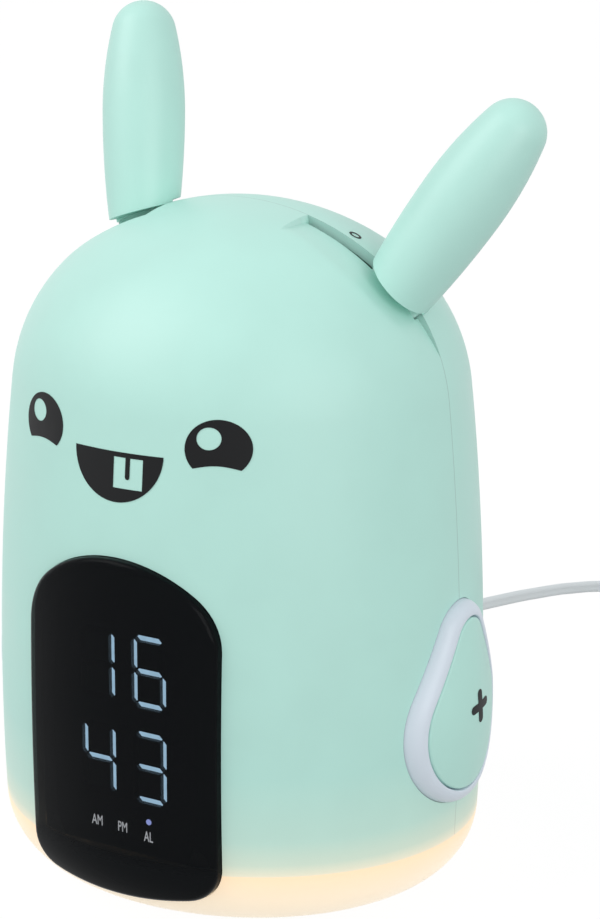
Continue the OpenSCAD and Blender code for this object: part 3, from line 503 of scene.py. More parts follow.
MINT = tone(187, 232, 221)
mint_plastic = moulded("mint_plastic", MINT, 0.42)
cord_pvc = moulded("cord_pvc", tone(226, 232, 234), 0.5, 0.6, 0.02)
print("first materials:", mint_plastic.name, cord_pvc.name)

# %% [markdown]
# # The lead's ends
# Where the lead leaves the back, a ribbed sleeve keeps it from kinking. Its other end has a USB
# plug: a soft moulded grip and a folded steel shell with two square windows. Two flat ties hold
# the coil. The sleeve is turned from a profile. The plug's parts start as blocks and are inset,
# extruded and bevelled, because they are square and have to fit one into the other.

# %% Lead, sleeve and ties
dress(supply_lead, "housing", "cord_sheath", cord_pvc, "cord", "cord_coil", "cord_tail")


def rod(name, centre, along, profile, sides=48):
    """A turned piece about an axis along X, Y or Z: a profile of steps along it and radii."""
    first = "XYZ".index(along)
    ahead, across, up = (AXES[(first + k) % 3] for k in range(3))
    loops = []
    for step, radius in profile:
        middle = Vector(centre) + step * ahead
        loops.append([middle + radius * (math.cos(2 * math.pi * k / sides) * across
                                         + math.sin(2 * math.pi * k / sides) * up)
                      for k in range(sides)])
    return skin(name, loops)


EXIT_X, EXIT_Z = 12, LIFT + WALL_UP
EXIT_Y = FLAT * math.sqrt(arc_at(EXIT_Z)[2] ** 2 - EXIT_X ** 2)
SLEEVE_IN, SLEEVE_R = 7, 2.9
RIB_COUNT, RIB_FIRST, RIB_EVERY, RIB_R, RIB_THINS = 4, 2.2, 2.9, 2.75, 0.17
sleeve_profile = [(-SLEEVE_IN, SLEEVE_R), (1.0, SLEEVE_R), (1.4, RIB_R)]
for rib in range(RIB_COUNT):
    at, r = RIB_FIRST + RIB_EVERY * rib, RIB_R - RIB_THINS * rib
    sleeve_profile += [(at, r), (at + 0.25, r - 0.45), (at + 1.0, r - 0.47), (at + 1.25, r - 0.05)]
sleeve_profile += [(13.6, 2.15), (14.0, 1.8)]
sleeve = rod("cord_sleeve", (EXIT_X, EXIT_Y, EXIT_Z), "Y", sleeve_profile)
flange = rod("sleeve_flange", (EXIT_X, EXIT_Y - SLEEVE_IN, EXIT_Z), "Y", [(0, 4.2), (1.8, 4.2)])
sleeve = settle(join("cord_sleeve", [sleeve, flange]), 40)
dress(sleeve, "housing", "cord_plastic", cord_pvc, "strain_relief")

TIE_WIDE, TIE_CORNER, CORNER_SIDES = 7, 2.0, 6


def band(name, middle, inward, half):
    """A band round a rounded square section, whose plane holds inward and the upright."""
    outline = []
    for k, (a, b) in enumerate([(1, 1), (-1, 1), (-1, -1), (1, -1)]):
        corner = (a * (half[0] - TIE_CORNER), b * (half[1] - TIE_CORNER))
        outline += [on_circle(corner, TIE_CORNER, 90 * k + 90 * j / CORNER_SIDES)
                    for j in range(CORNER_SIDES + 1)]
    up = AXES[2]
    along = inward.cross(up)
    edge = TIE_WIDE / 2
    loops = []
    for grow, shift in [(0.05, -edge), (0.35, -edge), (0.45, -edge + 0.2), (0.45, edge - 0.2),
                        (0.35, edge), (0.05, edge)]:
        loops.append([middle + along * shift + inward * (a * (1 + grow / half[0]))
                      + up * (b * (1 + grow / half[1])) for a, b in outline])
    return skin(name, loops, ring=True)


coil_middle = Vector((*COIL_AT, COIL_LOW + 1.5 * LEAD_WIDE))
for number, angle in ((1, 150), (2, 330)):
    ray = Vector((*on_circle((0, 0), 1, angle), 0))
    half = (1.5 * LEAD_WIDE, 2 * LEAD_WIDE)
    tie = settle(band(f"coil_tie_{number}", coil_middle + COIL_R * ray, ray, half), 40)
    dress(tie, "housing", "cord_plastic", cord_pvc)
print("sleeve and ties made")

# %% USB plug
SQUARELY = 0.9
SHARP = {"limit_method": "ANGLE", "angle_limit": math.radians(40)}


def block(name, low, high):
    """A cube primitive at its size and place."""
    clear()
    low, high = Vector(low), Vector(high)
    middle = (low + high) / 2
    bpy.ops.mesh.primitive_cube_add(size=1, location=middle * MM, scale=(high - low) * MM)
    return settle(start(name))


grip = block("plug_grip", (58.5, 159, 0.2), (73.5, 185, 7.8))
edit(grip)
pick(lambda at, facing: facing.y > SQUARELY)
bpy.ops.mesh.inset(thickness=0.6 * MM)
bpy.ops.transform.resize(value=(0.55, 1, 0.75))
pick(lambda at, facing: facing.z > SQUARELY)
bpy.ops.mesh.inset(thickness=2.2 * MM)
bpy.ops.transform.translate(value=(0, 0, -0.5 * MM))
apply(grip, "BEVEL", width=1.3 * MM, segments=5, **SHARP)
ribs = [block(f"grip_rib_{k}", (61.2, 166 + 3 * k, 7.0), (70.8, 167.2 + 3 * k, 7.75))
        for k in range(5)]
for rib in ribs:
    apply(rib, "BEVEL", width=0.3 * MM, segments=3)
grip = settle(join("plug_grip", [grip] + ribs), 35)
grip_pvc = moulded("grip_pvc", tone(206, 212, 214), 0.48, 0.5)
dress(grip, "housing", "cord_plastic", grip_pvc, "plug_body")

shell = block("plug_sleeve", (60, 146.95, 1.75), (72, 158.95, 6.25))
edit(shell)
pick(lambda at, facing: facing.y < -SQUARELY)
bpy.ops.mesh.inset(thickness=0.35 * MM)
bpy.ops.mesh.extrude_region_move(TRANSFORM_OT_translate={"value": (0, 11.2 * MM, 0)})
apply(shell, "BEVEL", width=0.25 * MM, segments=3, **SHARP)
for x in (63.6, 68.4):
    cut(shell, block("window_cutter", (x - 1.1, 151.6, 5.0), (x + 1.1, 153.9, 7.5)))
settle(shell)
tongue = block("plug_tongue", (60.5, 147.6, 2.2), (71.5, 158, 4.0))
settle(apply(tongue, "BEVEL", width=0.15 * MM, segments=2))
contacts = [block(f"contact_{k}", (61.6 + 2.4 * k, 148.6, 3.9), (63.0 + 2.4 * k, 157, 4.1))
            for k in range(4)]
contacts = settle(join("plug_contacts", contacts))
print("plug made:", len(grip.data.polygons), "faces on its grip")

# %% [markdown]
# # Metals, rubber and circuit board
# Steel is nearly neutral with fine brushing, gold is only on the contacts, rubber is matt and
# dusty. The boards are green lacquer over copper, with a pattern of tracks that only shows as a
# faint grid. All of them start from the moulded finish with other numbers, because they differ
# from it mainly in the size and strength of the grain.

# %% Other finishes
def metal(name, colour, rough):
    """A plated metal with fine scratches in its gloss."""
    return moulded(name, colour, rough, 0.15, 0.004, 0.06, Metallic=1.0)


steel = metal("zinc_plated_steel", tone(196, 198, 202), 0.3)
gold = metal("gold_plate", tone(214, 176, 96), 0.25)
black_plastic = moulded("black_plastic", tone(28, 29, 31), 0.5)
white_plastic = moulded("white_plastic", tone(236, 236, 232), 0.45)
rubber = moulded("grey_rubber", tone(46, 47, 49), 0.85, 0.5, 0.05, 0.12)
print_black = moulded("pad_print_black", tone(17, 18, 20), 0.5, 0.2, 0.006, 0.05,
                      Specular_IOR_Level=0.2)


def lacquer(name):
    """Green solder lacquer over copper tracks."""
    material = moulded(name, tone(30, 96, 62), 0.35, 0.5, 0.01, 0.1)
    tree, shader = shader_of(material)
    where = object_place(tree)
    bricks = tree.nodes.new("ShaderNodeTexBrick")
    set_sockets(bricks, Scale=1 / (6 * MM), Mortar_Size=0.04, Color1=tone(26, 88, 56),
                Color2=tone(34, 102, 66), Mortar=tone(64, 132, 84))
    link(tree, (where, bricks.inputs["Vector"]),
         (bricks.outputs["Color"], shader.inputs["Base Color"]))
    return material


board_lacquer = lacquer("board_lacquer")
dress(shell, "housing", "plug_steel", steel, "plug_shell")
dress(tongue, "housing", "plug_steel", white_plastic)
dress(contacts, "housing", "plug_steel", gold)
print("finishes made:", len(bpy.data.materials))

# %% [markdown]
# # The body shells
# The two shells have slots, hollows and windows that the CAD model already cuts exactly, so a
# merged copy of each is used. Its outer faces are small flats. Their normals are set from the arcs
# of the outline, so that the plastic looks as round as it is, and its edges stay crisp. The hollow
# beside each ear ends short of the middle of the crown, so what lies between the two hollows is
# cut into a grid and raised to the crown. The floor of the hollows fades into the body with no
# edge, so there the floor's normals are blended into the body's.

# %% Merged copies of CAD nodes
def merged(name, node, angle=30):
    """A copy of a CAD node with its loose triangles merged, smooth but for its edges."""
    piece = twin(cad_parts[node], name)
    piece.parent = None
    for key in list(piece.keys()):
        del piece[key]
    welded(piece, outwards=False)
    bpy.ops.object.shade_smooth_by_angle(angle=math.radians(angle))
    return piece


def body_normal(point):
    """Distance of a point from the body's surface, and the surface's direction there."""
    rho = math.hypot(point.x, point.y / FLAT)
    c, r, _ = arc_at(point.z)
    across, up = rho - c[0], point.z - c[1]
    out = math.hypot(across, up) - r
    if rho < 1e-6:
        return out, AXES[2]
    across /= rho
    return out, Vector((across * point.x, across * point.y / FLAT ** 2, up)).normalized()


HOLLOW_DEEP, HOLLOW_R, HOLLOW_FRONT = 1.9, 58.6, -16.1
HOLLOW_C = on_circle(SHOULDER_C, SHOULDER_R - HOLLOW_DEEP - HOLLOW_R, 51)
ON_SURFACE, ALONG_SURFACE, BLEND_DEEP = 0.09, 0.93, 0.9


def on_floor(at, within=0.03):
    """Whether a point lies on a hollow's floor, an arc that is drawn out along Y."""
    away = math.hypot(abs(at.x) - HOLLOW_C[0], at.z - HOLLOW_C[1])
    return abs(away - HOLLOW_R) < within and at.y > HOLLOW_FRONT


def floor_normal(at, out, body):
    """A hollow floor's own direction, blended into the body's where the hollow is shallow."""
    up = Vector((math.copysign(abs(at.x) - HOLLOW_C[0], at.x), 0, at.z - HOLLOW_C[1])).normalized()
    return body.lerp(up, ease(-out / BLEND_DEEP)).normalized()


def round_off(piece):
    """Sets the normals of the faces on the body's surface and on the hollows' floor."""
    mesh = piece.data
    points = [v.co / MM for v in mesh.vertices]
    known = [body_normal(point) for point in points]
    low = [on_floor(point) for point in points]
    normals = [Vector()] * len(mesh.loops)
    count = 0
    for face in mesh.polygons:
        corners = [(i, mesh.loops[i].vertex_index) for i in face.loop_indices]
        if all(low[v] for v in face.vertices):
            for i, v in corners:
                normals[i] = floor_normal(points[v], *known[v])
        elif all(abs(known[v][0]) < ON_SURFACE and known[v][1].dot(face.normal) > ALONG_SURFACE
                 for v in face.vertices):
            count += 1
            for i, v in corners:
                normals[i] = known[v][1]
    mesh.normals_split_custom_set(normals)
    return count


HOLLOW_ENDS, STEP_WIDE, GRID_REACH, GRID_BACK = 16.6, 0.05, 52, 16


def close_crown(piece):
    """Raises the hollows' floor to the crown between their ends, which leaves a step at each."""
    edit(piece)
    cuts = [(side * (HOLLOW_ENDS + more), 0) for side in (-1, 1) for more in (0, STEP_WIDE)]
    cuts += [(x, 0) for x in range(-GRID_REACH, GRID_REACH + 1, 2)]
    cuts += [(-y, 1) for y in range(1, GRID_BACK)]
    for at, axis in cuts:
        pick(lambda middle, facing: facing.z > 0.2 and on_floor(middle, 0.1))
        bisect(at, axis)
    mesh = bmesh.from_edit_mesh(piece.data)
    raised = [v for v in mesh.verts if abs(v.co.x / MM) < HOLLOW_ENDS + 0.01
              and v.co.y < SAME_POINT and on_floor(v.co / MM)]
    for v in raised:
        rho = math.hypot(v.co.x, v.co.y / FLAT) / MM
        v.co.z = (CROWN_C[1] + math.sqrt(CROWN_R ** 2 - rho ** 2)) * MM
    bmesh.update_edit_mesh(piece.data)
    bpy.ops.object.mode_set(mode="OBJECT")
    bpy.ops.object.shade_smooth_by_angle(angle=math.radians(30))
    return len(raised)


front_shell = merged("front_body", "front_shell")
print("crown points raised:", close_crown(front_shell))
rear_shell = merged("rear_body", "rear_shell")
for piece in (front_shell, rear_shell):
    print(piece.name, "faces rounded off:", round_off(piece), "of", len(piece.data.polygons))

# %% [markdown]
# # Mint shells lit from below
# The night light shines through the opal base and a little way up through the thin mint wall. The
# shells' colour is therefore painted warmer towards the base, with a painted glow that dies out
# within 22 mm. A faint line marks where the two shells meet. The warm colour and the glow are
# painted by height in the material: lamps behind a thin wall would do it too, but with far more
# noise in the picture.

# %% Mint body finish
WARM = tone(255, 232, 200)
GLOW_HIGH = 22
JOINT_DARK, JOINT_FROM, JOINT_TO = 0.72, 0.06, 0.16


def mixer(tree, blend="MIX"):
    node = tree.nodes.new("ShaderNodeMix")
    node.data_type = "RGBA"
    node.blend_type = blend
    return node


def glowing_mint(name):
    """Mint plastic with painted warm light and glow towards the base, and a faint line at the
    joint.
    """
    material = moulded(name, MINT, 0.42, Emission_Strength=0.30)
    tree, shader = shader_of(material)
    place = split_place(tree)
    up = spread(tree, place["Z"], 0.0, 1.0, SEAM_Z * MM, (SEAM_Z + GLOW_HIGH) * MM)
    plain = shader.inputs["Base Color"].links[0].from_socket
    mix = mixer(tree)
    # The colour is painted warmer towards the base, for the night light shining through the wall.
    painted_warm_light = ramp(tree, up, (0.0, grey(0.6)), (0.12, grey(0.28)), (0.35, grey(0.08)),
                  (1.0, grey(0)))
    link(tree, (painted_warm_light, mix.inputs["Factor"]), (plain, mix.inputs["A"]))
    mix.inputs["B"].default_value = WARM
    away = tree.nodes.new("ShaderNodeMath")
    away.operation = "ABSOLUTE"
    link(tree, (place["Y"], away.inputs[0]))
    line = spread(tree, away.outputs[0], JOINT_DARK, 1.0, JOINT_FROM * MM, JOINT_TO * MM)
    joint = mixer(tree, "MULTIPLY")
    set_sockets(joint, Factor=1.0)
    glow = ramp(tree, up, (0.0, shaded(WARM, 0.7)), (0.12, shaded(WARM, 0.32)),
                (0.4, shaded(WARM, 0.12)), (1.0, grey(0)))
    link(tree, (mix.outputs["Result"], joint.inputs["A"]), (line, joint.inputs["B"]),
         (joint.outputs["Result"], shader.inputs["Base Color"]),
         (glow, shader.inputs["Emission Color"]))
    return material


mint_body = glowing_mint("mint_body_plastic")
dress(front_shell, "housing", "mint_plastic", mint_body, "front_shell")
dress(rear_shell, "housing", "mint_plastic", mint_body, "rear_shell")
print("shells dressed in", mint_body.name)

# %% [markdown]
# # The opal night light
# The base is a bowl of milky plastic with lamps inside. Opal plastic spreads the light, so it
# shows as an even warm glow, deepest under the shells' edge and almost white below. The CAD bowl
# has the right form, so a merged copy carries the glow as an emission that changes with height.

# %% Opal base
def opal_glow(name):
    """Milky plastic lit from inside, its glow and its colour painted warmer towards the shells'
    edge.
    """
    material = moulded(name, tone(250, 236, 214), 0.4, Emission_Strength=0.42)
    tree, shader = shader_of(material)
    up = spread(tree, split_place(tree)["Z"], 0.0, 1.0, LIFT * MM, SEAM_Z * MM)
    glow = ramp(tree, up, (0.0, tone(255, 242, 220)), (0.55, tone(254, 234, 204)),
                (0.85, tone(254, 226, 192)), (1.0, tone(254, 220, 182)))
    link(tree, (glow, shader.inputs["Emission Color"]))
    # The base colour is painted warmer towards the shells' edge as well, for the glow there.
    base = ramp(tree, up, (0.0, tone(236, 226, 208)), (0.6, tone(236, 220, 196)),
                (1.0, tone(236, 210, 176)))
    link(tree, (base, shader.inputs["Base Color"]))
    return material


opal_base = merged("night_light_bowl", "night_light_base")
print("bowl faces rounded off:", round_off(opal_base))
dress(opal_base, "housing", "opal_plastic", opal_glow("opal_glow"), "night_light_base")

# %% [markdown]
# # The display lens
# The lens is one thick piece of smoked acrylic that stands 2 mm proud and follows the curve of the
# body. Its outline is a row of arcs, so it is made as a skin: the outline climbs the side, turns
# over a rounded rim, and then shrinks across the face, always at the body's own depth plus 2.2 mm.
# Its lowest part is masked black, so that the night light doesn't show through it.

# %% Outlines made of arcs
def stations(arcs, step):
    """Points and outward directions, about a step apart, along arcs and the lines between them."""
    row = []
    for k, (c, r, a, b) in enumerate(arcs):
        count = max(3, round(math.radians(b - a) * r / step))
        for i in range(count + 1):
            facing = Vector(on_circle((0, 0), 1, a + (b - a) * i / count))
            row.append((Vector(c) + r * facing, facing))
        nc, nr, na, _ = arcs[(k + 1) % len(arcs)]
        target = Vector(nc) + nr * Vector(on_circle((0, 0), 1, na))
        here, facing = row[-1]
        gap = (target - here).length
        if gap < 1e-3:
            row.pop()
        for i in range(1, max(1, round(gap / step))):
            row.append((here.lerp(target, i / round(gap / step)), facing))
    return row


def inset(row, by):
    """The points of an outline, moved inwards."""
    return [p - by * n for p, n in row]


def shrunk(points, middle, share):
    """The points of an outline, drawn in towards its middle."""
    return [middle + share * (p - middle) for p in points]


def over_rim(lay, row, by, rise, r, steps):
    """Loops that turn from a side onto a face, over a rounded rim."""
    angles = [math.radians(90 * k / steps) for k in range(steps + 1)]
    return [lay(inset(row, by + r * (1 - math.cos(t))), rise + r * math.sin(t)) for t in angles]


LENS_LOW, LENS_SIDE = LIFT + 5.8, 23.4
LENS_TOP = LENS_LOW + 74.7
EDGE_R, CORNER_R, BEND_R, BEND_DOWN = 90.0, 8.0, 14.5, 17.6
edge = (0, LENS_LOW + EDGE_R)
corner_x = LENS_SIDE - CORNER_R
corner = (corner_x, edge[1] - math.sqrt((EDGE_R - CORNER_R) ** 2 - corner_x ** 2))
bend = (LENS_SIDE - BEND_R, LENS_TOP - BEND_DOWN)
crown_r = (bend[0] ** 2 + BEND_DOWN ** 2 - BEND_R ** 2) / (2 * (BEND_DOWN - BEND_R))
crown = (0, LENS_TOP - crown_r)
low = math.degrees(math.atan2(corner[1] - edge[1], corner[0] - edge[0]))
turn = math.degrees(math.atan2(bend[1] - crown[1], bend[0] - crown[0]))
lens_row = stations([(edge, EDGE_R, -180 - low, low), (corner, CORNER_R, low, 0),
                     (bend, BEND_R, 0, turn), (crown, crown_r, turn, 180 - turn),
                     ((-bend[0], bend[1]), BEND_R, 180 - turn, 180),
                     ((-corner[0], corner[1]), CORNER_R, 180, 180 - low)], 1.2)
print("lens outline:", len(lens_row), "points")

# %% Lens
LENS_PROUD, RIM, NECK = 2.2, 1.1, 0.5
LENS_COVER, MASK_FROM, MASK_TO = 0.83, 15, 18
lens_middle = Vector((0, LENS_LOW + 37.5))


def on_front(points, out):
    """Points of an outline, laid on the front of the body."""
    return [(p.x, front_y(p.x, p.y, out), p.y) for p in points]


neck, rim = inset(lens_row, NECK), inset(lens_row, RIM)
lens_loops = [on_front(shrunk(neck, lens_middle, s), -1) for s in (0.1, 0.4, 0.7)]
lens_loops += [on_front(neck, -1), on_front(inset(lens_row, 0), -0.6)]
lens_loops += over_rim(on_front, lens_row, 0, LENS_PROUD - RIM, RIM, 8)
for s in [1 - 0.015 * k for k in range(1, 5)] + [0.94 - 0.0385 * k for k in range(1, 25)]:
    lens_loops.append(on_front(shrunk(rim, lens_middle, s), LENS_PROUD))
lens = settle(skin("display_window", lens_loops), 50)
smoked = moulded("smoked_acrylic", (0.003, 0.004, 0.005, 1), 0.07, 0.3, 0.0003, 0.02,
                 Specular_IOR_Level=0.06)
tree, shader = shader_of(smoked)
cover = spread(tree, split_place(tree)["Z"], 1.0, LENS_COVER, MASK_FROM * MM, MASK_TO * MM)
link(tree, (cover, shader.inputs["Alpha"]))
dress(lens, "housing", "black_gloss", smoked, "display_lens")
print("lens:", len(lens.data.polygons), "faces")

# %% [markdown]
# # Lit digits and small lettering
# The hours and minutes shine through the lens as seven-segment digits. The CAD model has them as
# clear bars in the display frame behind the smoked lens, so they only need light. AM, PM and AL
# are small and thin on the frame under them, with an alarm lamp beside, and are laid on it as
# films.

# %% Digits
UNLIT, DIMMEST = 0.25, 0.85


def lit(name, colour, strength):
    """A lit face: light with a little unevenness, as through a diffuser."""
    material = moulded(name, shaded(colour, UNLIT), 0.4, Emission_Strength=strength)
    tree, shader = shader_of(material)
    where = object_place(tree)
    glow = ramp(tree, noise(tree, where, 2.5), (0.3, shaded(colour, DIMMEST)), (0.7, colour))
    link(tree, (glow, shader.inputs["Emission Color"]))
    return material


digit_light = lit("digit_light", tone(158, 193, 217), 30.0)
lamp_lilac = lit("alarm_lamp", tone(146, 160, 222), 28.0)
label_light = lit("label_light", tone(196, 200, 204), 20.0)
coat(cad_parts["display_digits"], digit_light)
print("lit finishes:", digit_light.name, lamp_lilac.name, label_light.name)

# %% Flat shapes laid on a surface
FILM, ABOVE, IN_FRONT = 0.06, 0.02, -70


def oval(cx, cz, rx, rz, from_a=0, to_a=360, count=48):
    """Points of an oval, or of a part of one with both its ends."""
    steps = count + (to_a - from_a != 360)
    angles = [math.radians(from_a + (to_a - from_a) * k / count) for k in range(steps)]
    return [(cx + rx * math.cos(a), cz + rz * math.sin(a)) for a in angles]


def stand(piece):
    """Turns a flat mesh up from the floor, to face the front, and merges its doubles."""
    return welded(turned(piece, x=90), outwards=False)


def flat_shape(name, outlines):
    """Closed outlines in the plane of X and Z, filled; an outline inside one is a hole."""
    clear()
    bpy.ops.curve.primitive_bezier_circle_add()
    curve = bpy.context.object.data
    curve.splines.clear()
    curve.dimensions = "2D"
    curve.fill_mode = "BOTH"
    for outline in outlines:
        spline = curve.splines.new("POLY")
        spline.points.add(len(outline) - 1)
        for point, (x, z) in zip(spline.points, outline):
            point.co = (x * MM, z * MM, 0, 1)
        spline.use_cyclic_u = True
    bpy.ops.object.convert(target="MESH")
    return stand(start(name))


def lettering(name, text, height, squeeze):
    """Letters in the plane of X and Z, with their middle at the origin."""
    clear()
    bpy.ops.object.text_add()
    letters = bpy.context.object.data
    letters.body = text
    letters.align_x = letters.align_y = "CENTER"
    letters.size = height / 0.7 * MM
    letters.resolution_u = 3
    bpy.ops.object.convert(target="MESH")
    piece = start(name)
    piece.scale = (squeeze, 1, 1)
    bpy.ops.object.transform_apply(location=True, rotation=True, scale=True)
    return stand(piece)


def cut_up(piece, step, ways="XZ"):
    """Bisects a flat piece into small faces, so that it can follow a curve."""
    low, high = ([most(v.co[i] for v in piece.data.vertices) / MM for i in range(3)]
                 for most in (min, max))
    edit(piece)
    for axis in ("XYZ".index(way) for way in ways):
        at = low[axis] + step
        while at < high[axis] - 0.2 * step:
            bpy.ops.mesh.select_all(action="SELECT")
            bisect(at, axis)
            at += step
    bpy.ops.object.mode_set(mode="OBJECT")
    return piece


def lay_on(piece, target, axis):
    """Presses a flat piece onto a target along an axis, as a thin film of ink."""
    apply(piece, "SHRINKWRAP", target=target, wrap_method="PROJECT", use_project_x=axis == "X",
          use_project_y=axis == "Y", use_project_z=axis == "Z", use_positive_direction=True,
          use_negative_direction=True, wrap_mode="ABOVE_SURFACE", offset=(FILM + ABOVE) * MM)
    apply(piece, "SOLIDIFY", thickness=FILM * MM, offset=0)
    return settle(welded(piece), 40)


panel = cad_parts["display_frame"]
for name, text, x, z in (("mark_am", "AM", -7.1, 20.9), ("mark_pm", "PM", -0.6, 20.7),
                         ("mark_al", "AL", 6.0, 19.9)):
    mark = cut_up(moved(lettering(name, text, 2.3, 0.6), x, IN_FRONT, z), 0.8, "X")
    dress(lay_on(mark, panel, "Y"), "housing", "digit_light", label_light)
dot = moved(flat_shape("alarm_lamp_dot", [oval(6.1, 23.4, 0.65, 0.65, count=24)]), 0, IN_FRONT, 0)
dress(lay_on(dot, panel, "Y"), "housing", "digit_light", lamp_lilac)
print("lettering made")

# %% [markdown]
# # The printed face
# A simple rabbit's face is pad-printed on the front shell in black: two eyes with a clear oval
# that lets the mint show, and a wide open smile with one tooth. Pad printing lays ink on a curve;
# here a flat shape is cut into small faces and pressed onto the shell.

# %% Eyes and mouth
EYE_Z, EYE_WIDE, EYE_TALL = 105.8, 6.4, 5.95
LID_Z, LID_HALF, LID_BOW, LID_STEPS = 101.67, 4.6, 0.75, 12
GLINT_X, GLINT_Z, GLINT_WIDE, GLINT_TALL = 1.75, 107.85, 2.4, 2.28


def eye(cx):
    """A round eye with a clear oval in it, cut below by a lid that bows up."""
    lid = [(cx - LID_HALF + 2 * LID_HALF * k / LID_STEPS,
            LID_Z + LID_BOW * math.sin(math.pi * k / LID_STEPS)) for k in range(1, LID_STEPS)]
    return [oval(cx, EYE_Z, EYE_WIDE, EYE_TALL, -44, 224) + lid,
            oval(cx - GLINT_X, GLINT_Z, GLINT_WIDE, GLINT_TALL)]


smile = oval(-0.2, 103.35, 10.75, 10.4, 360, 180, 40)
tooth = [(6.1, 102.35), (3.1, 102.35)] + oval(2.57, 98.4, 0.53, 0.53, 360, 180, 8)
tooth += [(2.04, 102.35), (-0.8, 102.35), (-0.8, 95.95), (6.1, 95.95)]
for name, outlines in (("right_eye", eye(21.2)), ("left_eye", eye(-21.6)),
                       ("smile", [smile, tooth])):
    shape = cut_up(moved(flat_shape(name, outlines), 0, IN_FRONT, 0), 0.9)
    dress(lay_on(shape, front_shell, "Y"), "housing", "mint_plastic", print_black)
print("face printed")

# %% [markdown]
# # Arm rings and buttons
# On each side a lavender-white light ring frames a mint button that is pressed to set the clock.
# Both follow the same egg-shaped outline on the curved wall. The ring rises as a quarter round,
# and the button is a low dome inside it with a softly rounded edge that catches the light. Both
# are skins, loop by loop, because no lathe can turn an egg-shaped outline that also follows a
# curved wall. The left side is the right one mirrored.

# %% Rings
ARM_LOW, ARM_TOP = LIFT + 40.5, LIFT + 58.6
ARM_LOW_R, ARM_TOP_R = 18, 9
arm_turn = 90 - math.degrees(math.acos((ARM_LOW_R - ARM_TOP_R) / (ARM_TOP - ARM_LOW)))
arm_row = stations([((0, ARM_TOP), ARM_TOP_R, arm_turn, 180 - arm_turn),
                    ((0, ARM_LOW), ARM_LOW_R, 180 - arm_turn, 360 + arm_turn)], 1.0)
arm_middle = Vector((0, ARM_LOW + 2))
RING_W, RING_PROUD, RING_EDGE = 3.3, 3.0, 0.35


def on_side(points, rise):
    """Points of an outline, laid on the right side of the body."""
    return [(side_x(p.x, p.y) + rise, p.x, p.y) for p in points]


ring_steps = [(-1.3, -2.5), (-1.3, -4), (RING_W, -4), (RING_W, 2.6)]
ring_steps += [on_circle((RING_W - RING_EDGE, RING_PROUD - RING_EDGE), RING_EDGE, a)
               for a in (30, 60, 90)]
for k in range(1, 11):
    t = math.radians(90 - 9 * k)
    inwards = RING_W - RING_EDGE - (RING_W - 0.5) * math.cos(t)
    ring_steps.append((inwards, RING_PROUD * math.sin(t)))
ring_steps += [(0.15, -2.5)]
ring_loops = [on_side(inset(arm_row, by), rise) for by, rise in ring_steps]
light_ring = settle(skin("right_light_ring", ring_loops, ring=True), 50)
print("light ring:", len(light_ring.data.polygons), "faces")

# %% Buttons
BUTTON_IN, BUTTON_EDGE, BUTTON_RISE, BUTTON_DOME = RING_W + 0.35, 0.5, 2.55, 1.45
STEM_IN, STEM_BACK, CAP_BACK = 2.1, -5.35, -4.15
button_loops = [on_side(shrunk(inset(arm_row, STEM_IN), arm_middle, s), STEM_BACK)
                for s in (0.15, 0.5)]
button_loops += [on_side(inset(arm_row, by), rise)
                 for by, rise in ((STEM_IN, STEM_BACK), (STEM_IN, CAP_BACK), (BUTTON_IN, CAP_BACK),
                                  (BUTTON_IN, 1.0))]
button_loops += over_rim(on_side, arm_row, BUTTON_IN, BUTTON_RISE, BUTTON_EDGE, 6)
dome_row = inset(arm_row, BUTTON_IN + BUTTON_EDGE)
for s in [1 - 0.05 * k for k in range(1, 20)]:
    button_loops.append(on_side(shrunk(dome_row, arm_middle, s),
                                BUTTON_RISE + BUTTON_EDGE + BUTTON_DOME * (1 - s * s)))
button = settle(skin("plus_arm_button", button_loops), 50)


def mirrored(piece, name):
    """The same piece for the other side of the body."""
    copy = twin(piece, name)
    copy.scale.x = -1
    bpy.ops.object.transform_apply(location=False, rotation=False, scale=True)
    return settle(welded(copy), 50)


print("button:", len(button.data.polygons), "faces")

# %% Arm finishes and signs
ring_white = moulded("ring_opal", tone(212, 222, 231), 0.38, 0.3, 0.02, 0.04,
                     Emission_Color=tone(205, 214, 236), Emission_Strength=0.06)
left_ring = mirrored(light_ring, "left_light_ring")
left_button = mirrored(button, "minus_arm_button")
SIGN_LONG, SIGN_STROKE, SIGN_TILT = 7.6, 1.9, 6
SIGN_Y, SIGN_Z, BESIDE = 1.0, 45.2, 80


def cross_sign(arms):
    """A sign of two or four arms with round ends, as one outline in the plane of X and Z."""
    half, outline = SIGN_STROKE / 2, []
    for k in range(4):
        if k in arms:
            end = on_circle((0, 0), SIGN_LONG / 2 - half, 90 * k)
            outline += [on_circle(end, half, 90 * k + b) for b in range(-90, 91, 15)]
        if len(arms) == 4:
            outline.append(on_circle((0, 0), half * 1.4142, 90 * k + 45))
    return outline


def side_sign(name, arms, side, target):
    """Turns a flat sign to face a side, tilted, and presses it onto the button there."""
    sign = turned(turned(flat_shape(name, [cross_sign(arms)]), y=-SIGN_TILT * side), z=90 * side)
    return lay_on(cut_up(moved(sign, BESIDE * side, SIGN_Y, SIGN_Z), 0.8, "YZ"), target, "X")


plus_sign = side_sign("plus_sign", (0, 1, 2, 3), 1, button)
minus_sign = side_sign("minus_sign", (0, 2), -1, left_button)
dress(light_ring, "housing", "ring_plastic", ring_white, "right_arm_ring")
dress(left_ring, "housing", "ring_plastic", ring_white, "left_arm_ring")
dress(button, "plus_button", "button_plastic", mint_plastic, "plus_button")
dress(left_button, "minus_button", "button_plastic", mint_plastic, "minus_button")
dress(plus_sign, "plus_button", "button_plastic", print_black)
dress(minus_sign, "minus_button", "button_plastic", print_black)
print("signs:", len(plus_sign.data.polygons), len(minus_sign.data.polygons), "faces")

